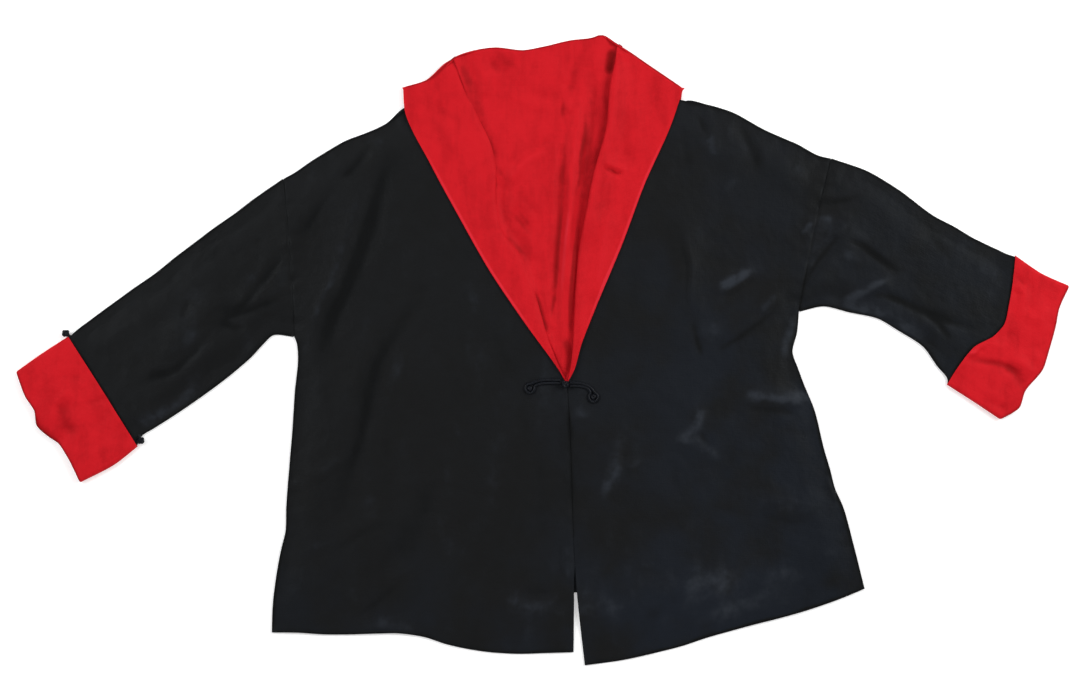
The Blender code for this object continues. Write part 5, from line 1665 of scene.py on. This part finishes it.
def cord_mesh(name, points, diameter, closed=False):
    """A round cord through points in mm, as a mesh."""
    curve = bpy.data.curves.new(name, "CURVE")
    curve.dimensions = "3D"
    curve.bevel_depth = diameter / 2.0 * MM
    curve.bevel_resolution = 4
    curve.use_fill_caps = True
    curve.resolution_u = 4
    spline = curve.splines.new("NURBS")
    spline.points.add(len(points) - 1)
    for target, point in zip(spline.points, points):
        target.co = (*(np.asarray(point) * MM), 1.0)
    spline.order_u = 4
    spline.use_cyclic_u = closed
    spline.use_endpoint_u = not closed
    cord = bpy.data.objects.new(name, curve)
    bpy.context.scene.collection.objects.link(cord)
    only(cord)
    bpy.ops.object.convert(target="MESH")
    return bpy.context.view_layer.objects.active


def join_as(name, parts, finish):
    """Join pieces into one at the origin, with one of the jacket's finishes."""
    only(parts[0])
    for part in parts:
        part.select_set(True)
    bpy.ops.object.join()
    piece = bpy.context.view_layer.objects.active
    piece.name = name
    piece.data.name = name
    piece.data.materials.clear()
    piece.data.materials.append(finish_named(finish))
    bpy.ops.object.transform_apply(location=True, rotation=True, scale=True)
    return piece


def join_cords(name, parts):
    """Join cords and knots into one smooth piece."""
    piece = join_as(name, parts, "black_cord")
    piece.data.shade_smooth()
    return piece


def knot_ball(name, centre, diameter, turn=0.0):
    """A knotted ball: one cord laid three times round and over and under itself, on a core."""
    cord = diameter * KNOT_CORD
    lift = diameter * KNOT_LIFT
    radius = diameter / 2.0 - cord / 2.0 - lift
    points = []
    for share in np.arange(KNOT_POINTS) / KNOT_POINTS:
        bight = 2.0 * math.pi * KNOT_BIGHTS * share
        around = 2.0 * math.pi * KNOT_LEADS * share + turn
        latitude = KNOT_REACH * math.cos(bight)
        reach = radius + lift * math.sin(2.0 * bight)
        points.append((
            centre[0] + reach * math.cos(latitude) * math.cos(around),
            centre[1] + reach * math.sin(latitude),
            centre[2] + reach * math.cos(latitude) * math.sin(around),
        ))
    wound = cord_mesh(name, points, cord, closed=True)
    bpy.ops.mesh.primitive_uv_sphere_add(
        segments=20, ring_count=12, radius=radius * MM * KNOT_CORE,
        location=[value * MM for value in centre],
    )
    return join_cords(name, [wound, bpy.context.object])


def doubled_route(knot_end, bend, centre, radius, side, cord):
    """Plan points of a cord that leaves the knot, turns round the end's curl and comes back."""
    spread = (cord + CORD_APART) / 2.0
    start, bend, centre = np.array(knot_end), np.array(bend), np.array(centre)
    toward = math.atan2(*(bend - centre)[::-1])
    opening = math.asin(spread / radius) + CURL_GAP
    turns = toward + side * even(CURL_POINTS, opening, 2.0 * math.pi - opening)
    circle = [centre + radius * np.array([math.cos(turn), math.sin(turn)]) for turn in turns]
    leaving = (start - bend) / np.linalg.norm(start - bend)
    across = np.array([-leaving[1], leaving[0]]) * spread * side

    def bent(away, last, t):
        first, middle = start + away, bend + away
        return first * (1 - t) ** 2 + middle * 2 * t * (1 - t) + last * t * t

    out = [bent(across, circle[0], t) for t in BEND_SHARES]
    back = [bent(-across, circle[-1], t) for t in BEND_SHARES[::-1]]
    return out + circle + back


def on_cloth(points, cloth, diameter):
    """Points in mm at the middle of a cord that lies on the cloth, over points in plan."""
    laid = []
    for x, y in points:
        found = top_of(cloth, x, y)
        height = found[0].z / MM if found else float(front_top(x, y))
        laid.append((x, y, height + diameter * CORD_REST))
    return laid


def frog_side(name, node, side, rise, bend, curl):
    """One half of the frog: a doubled cord sewn down from the button to its coiled end."""
    cord = bpy.context.scene.jacket_sizes.cord / MM
    x, y = FROG_KNOT
    cloth = ["left_front", "right_front"]
    route = doubled_route((x + side * FROG_REACH, y + rise), bend, curl, CURL_RADIUS, side, cord)
    parts = [cord_mesh(name, on_cloth(route, cloth, cord), cord)]
    coil = []
    for turn in even(COIL_POINTS, 0.0, COIL_TURN * math.pi):
        reach = (CURL_RADIUS - cord * COIL_START) * (1.0 - COIL_CLOSING * turn / math.pi)
        coil.append((curl[0] + reach * math.cos(side * turn), curl[1] + reach * math.sin(side * turn)))
    thin = cord * COIL_CORD
    parts.append(cord_mesh(name + "_coil", on_cloth(coil, cloth, thin), thin))
    place_on_jacket(join_cords(name, parts), "black_cord", node)


def frog():
    """The knotted button and the two halves of the frog."""
    button = bpy.context.scene.jacket_sizes.button / MM
    low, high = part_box("frog_button")
    ball = knot_ball("button_knot", (*FROG_KNOT, (low.z + high.z) / 2.0 / MM), button, BUTTON_TURN)
    place_on_jacket(ball, "black_cord", "frog_button")
    frog_side("left_frog", "frog_left", -1.0, FROG_LEFT_RISE, FROG_LEFT_BEND, FROG_LEFT_CURL)
    frog_side("right_frog", "frog_right", 1.0, FROG_RIGHT_RISE, FROG_RIGHT_BEND, FROG_RIGHT_CURL)


def cuff_knots():
    """The small knots at the two ends of the left cuff's free edge, each on a short stem."""
    for name, node, shift, stem in CUFF_KNOTS:
        low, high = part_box(node)
        across = (high.x - low.x) / MM * CUFF_KNOT_FULL
        middle = (low + high) / 2.0 / MM + Vector((*shift, 0.0))
        centre = (middle.x, middle.y, max(middle.z, across / 2.0 + CUFF_KNOT_CLEAR))
        ball = knot_ball(name, centre, across, CUFF_KNOT_TURN)
        stem_cord = cord_mesh(name + "_stem", [centre, *stem], STEM)
        place_on_jacket(join_cords(name, [ball, stem_cord]), "black_cord", node)


# ------------ stitches
def one_stitch():
    """A single prick stitch, modelled once: a thread's length that dips in at both ends."""
    length = bpy.context.scene.jacket_sizes.stitch
    bpy.ops.mesh.primitive_uv_sphere_add(
        segments=6, ring_count=4, radius=1.0, rotation=(0.0, math.pi / 2.0, 0.0),
    )
    stitch = bpy.context.object
    stitch.scale = (THREAD * MM / 2.0, THREAD * MM / 2.0, length / 2.0)
    bpy.ops.object.transform_apply(location=True, rotation=True, scale=True)
    return stitch


def stitch_line(name, cloth, slot, spacing, line):
    """Prick stitches along a plan line in mm, on the surface of a piece."""
    model = one_stitch()
    spots = soft_line(line, max(2, round(line_length(line) / spacing)))
    made = []
    for (x, y), (dx, dy) in zip(spots, np.gradient(spots, axis=0)):
        found = top_of([cloth], x, y)
        if found is None:
            continue
        point, normal = found
        copy = bpy.data.objects.new(name, model.data.copy())
        bpy.context.scene.collection.objects.link(copy)
        copy.location = point + normal * THREAD * MM * THREAD_RISE
        heading = Vector((dx, dy, 0.0))
        heading = heading - normal * heading.dot(normal)
        copy.rotation_euler = heading.to_track_quat("X", "Z").to_euler()
        made.append(copy)
    bpy.data.objects.remove(model)
    place_on_jacket(join_as(name, made, slot), slot)


def stitching():
    """Prick stitches beside the collar's and the fronts' edges and over the hems."""
    for name, cloth, slot, spacing, line, inset in STITCHES:
        stitch_line(name, cloth, slot, spacing, moved(line, *inset))


# ------------ stage
def floor_and_light():
    """A plain floor, four soft lamps around it and an even room."""
    studio = bpy.context.scene.jacket_studio
    bpy.ops.object.select_all(action="DESELECT")
    bpy.ops.mesh.primitive_plane_add(size=studio.floor, location=(0.0, 0.0, -FLOOR_DROP * MM))
    floor = bpy.context.object
    floor.name = "floor"
    floor.data.materials.append(plain_floor())
    for name, azimuth, elevation, distance, size, share in LIGHTS:
        lamp = bpy.data.lights.new(name, "AREA")
        lamp.shape = "DISK"
        lamp.size = size
        lamp.energy = studio.power * share
        turn, tilt = math.radians(azimuth), math.radians(elevation)
        way = Vector((math.cos(turn) * math.cos(tilt), math.sin(turn) * math.cos(tilt), math.sin(tilt)))
        light = bpy.data.objects.new(name, lamp)
        bpy.context.scene.collection.objects.link(light)
        light.location = way * distance
        light.rotation_euler = way.to_track_quat("Z", "Y").to_euler()
    world = bpy.data.worlds.new("room")
    world.use_nodes = True
    light_of_room = world.node_tree.nodes["Background"].inputs
    light_of_room["Color"].default_value = (1.0, 1.0, 1.0, 1.0)
    light_of_room["Strength"].default_value = studio.fill
    bpy.context.scene.world = world


def camera_above():
    """A camera that looks straight down on the jacket."""
    studio = bpy.context.scene.jacket_studio
    lens = bpy.data.cameras.new("camera")
    lens.sensor_width = 36.0
    lens.lens = lens.sensor_width * studio.height / studio.view
    lens.clip_end = 50.0
    camera = bpy.data.objects.new("camera", lens)
    bpy.context.scene.collection.objects.link(camera)
    camera.location = (VIEW_CENTRE[0] * MM, VIEW_CENTRE[1] * MM, studio.height)
    bpy.context.scene.camera = camera
    bpy.context.scene.view_settings.view_transform = "Standard"


# ------------ operators and panel
class JACKET_OT_body(bpy.types.Operator):
    """Build the back and the two fronts."""

    bl_idname = "jacket.body"
    bl_label = "Back and fronts"

    def execute(self, context):
        back_panel()
        fronts()
        return {"FINISHED"}


class JACKET_OT_sleeves(bpy.types.Operator):
    """Build the sleeves and their turned-back cuffs."""

    bl_idname = "jacket.sleeves"
    bl_label = "Sleeves and cuffs"

    def execute(self, context):
        sleeve(
            "left_sleeve", "sleeve_left", ARMHOLE_LEFT, SLEEVE_LEFT_UPPER, SLEEVE_LEFT_LOWER,
            CUFF_LEFT, flip=True, grain=36.0,
        )
        sleeve(
            "right_sleeve", "sleeve_right", ARMHOLE_RIGHT, SLEEVE_RIGHT_UPPER, SLEEVE_RIGHT_LOWER,
            CUFF_RIGHT, flip=False, grain=-30.0,
        )
        turned_cuff("left_cuff", "cuff_left", CUFF_LEFT, CUFF_LEFT_FOLDS, flip=True, grain=36.0)
        turned_cuff("right_cuff", "cuff_right", CUFF_RIGHT, CUFF_RIGHT_FOLDS, flip=False, grain=-30.0)
        return {"FINISHED"}


class JACKET_OT_neck(bpy.types.Operator):
    """Build the lining of the neck and the stand behind it."""

    bl_idname = "jacket.neck"
    bl_label = "Neck lining"

    def execute(self, context):
        neck_lining()
        return {"FINISHED"}


class JACKET_OT_collar(bpy.types.Operator):
    """Build the shawl collar's two leaves and its fall behind the back."""

    bl_idname = "jacket.collar"
    bl_label = "Shawl collar"

    def execute(self, context):
        collar_leaf(
            "left_leaf", "collar_left", ROLL_LEFT, OUTER_LEFT,
            roll_top=7.4, softness=4.0, flip=False, grain=-28.0,
        )
        collar_leaf(
            "right_leaf", "collar_right", ROLL_RIGHT, OUTER_RIGHT,
            roll_top=10.0, softness=1.6, flip=True, grain=22.0,
        )
        collar_fall()
        return {"FINISHED"}


class JACKET_OT_frog(bpy.types.Operator):
    """Build the frog and the left cuff's small knots."""

    bl_idname = "jacket.frog"
    bl_label = "Frog and knots"

    def execute(self, context):
        frog()
        cuff_knots()
        return {"FINISHED"}


class JACKET_OT_stitches(bpy.types.Operator):
    """Sew the prick stitches along the edges."""

    bl_idname = "jacket.stitches"
    bl_label = "Stitches"

    def execute(self, context):
        stitching()
        return {"FINISHED"}


class JACKET_OT_stage(bpy.types.Operator):
    """Lay the floor and set the lights and the camera."""

    bl_idname = "jacket.stage"
    bl_label = "Floor, light and camera"

    def execute(self, context):
        floor_and_light()
        camera_above()
        return {"FINISHED"}


OPERATORS = (
    JACKET_OT_body, JACKET_OT_sleeves, JACKET_OT_neck, JACKET_OT_collar, JACKET_OT_frog,
    JACKET_OT_stitches, JACKET_OT_stage,
)


class JACKET_PT_panel(bpy.types.Panel):
    """The jacket's settings and its steps."""

    bl_idname = "JACKET_PT_panel"
    bl_label = "Silk jacket"
    bl_space_type = "VIEW_3D"
    bl_region_type = "UI"
    bl_category = "Jacket"

    def draw(self, context):
        scene = context.scene
        for group in (scene.jacket_sizes, scene.jacket_colours, scene.jacket_studio):
            box = self.layout.box()
            for name in group.bl_rna.properties.keys():
                if name not in ("rna_type", "name"):
                    box.prop(group, name)
        for operator in OPERATORS:
            self.layout.operator(operator.bl_idname)


CLASSES = (JacketSizes, JacketColours, StudioSettings) + OPERATORS + (JACKET_PT_panel,)


def register():
    """Register the classes and hang the settings on the scene."""
    for item in CLASSES:
        bpy.utils.register_class(item)
    bpy.types.Scene.jacket_sizes = PointerProperty(type=JacketSizes)
    bpy.types.Scene.jacket_colours = PointerProperty(type=JacketColours)
    bpy.types.Scene.jacket_studio = PointerProperty(type=StudioSettings)


def unregister():
    """Undo what register does."""
    del bpy.types.Scene.jacket_studio
    del bpy.types.Scene.jacket_colours
    del bpy.types.Scene.jacket_sizes
    for item in reversed(CLASSES):
        bpy.utils.unregister_class(item)


def main():
    """Build the jacket and its stage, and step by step."""
    register()
    bpy.ops.jacket.body()
    bpy.ops.jacket.sleeves()
    bpy.ops.jacket.neck()
    bpy.ops.jacket.collar()
    bpy.ops.jacket.frog()
    bpy.ops.jacket.stitches()
    bpy.ops.jacket.stage()


if __name__ == "__main__":
    main()
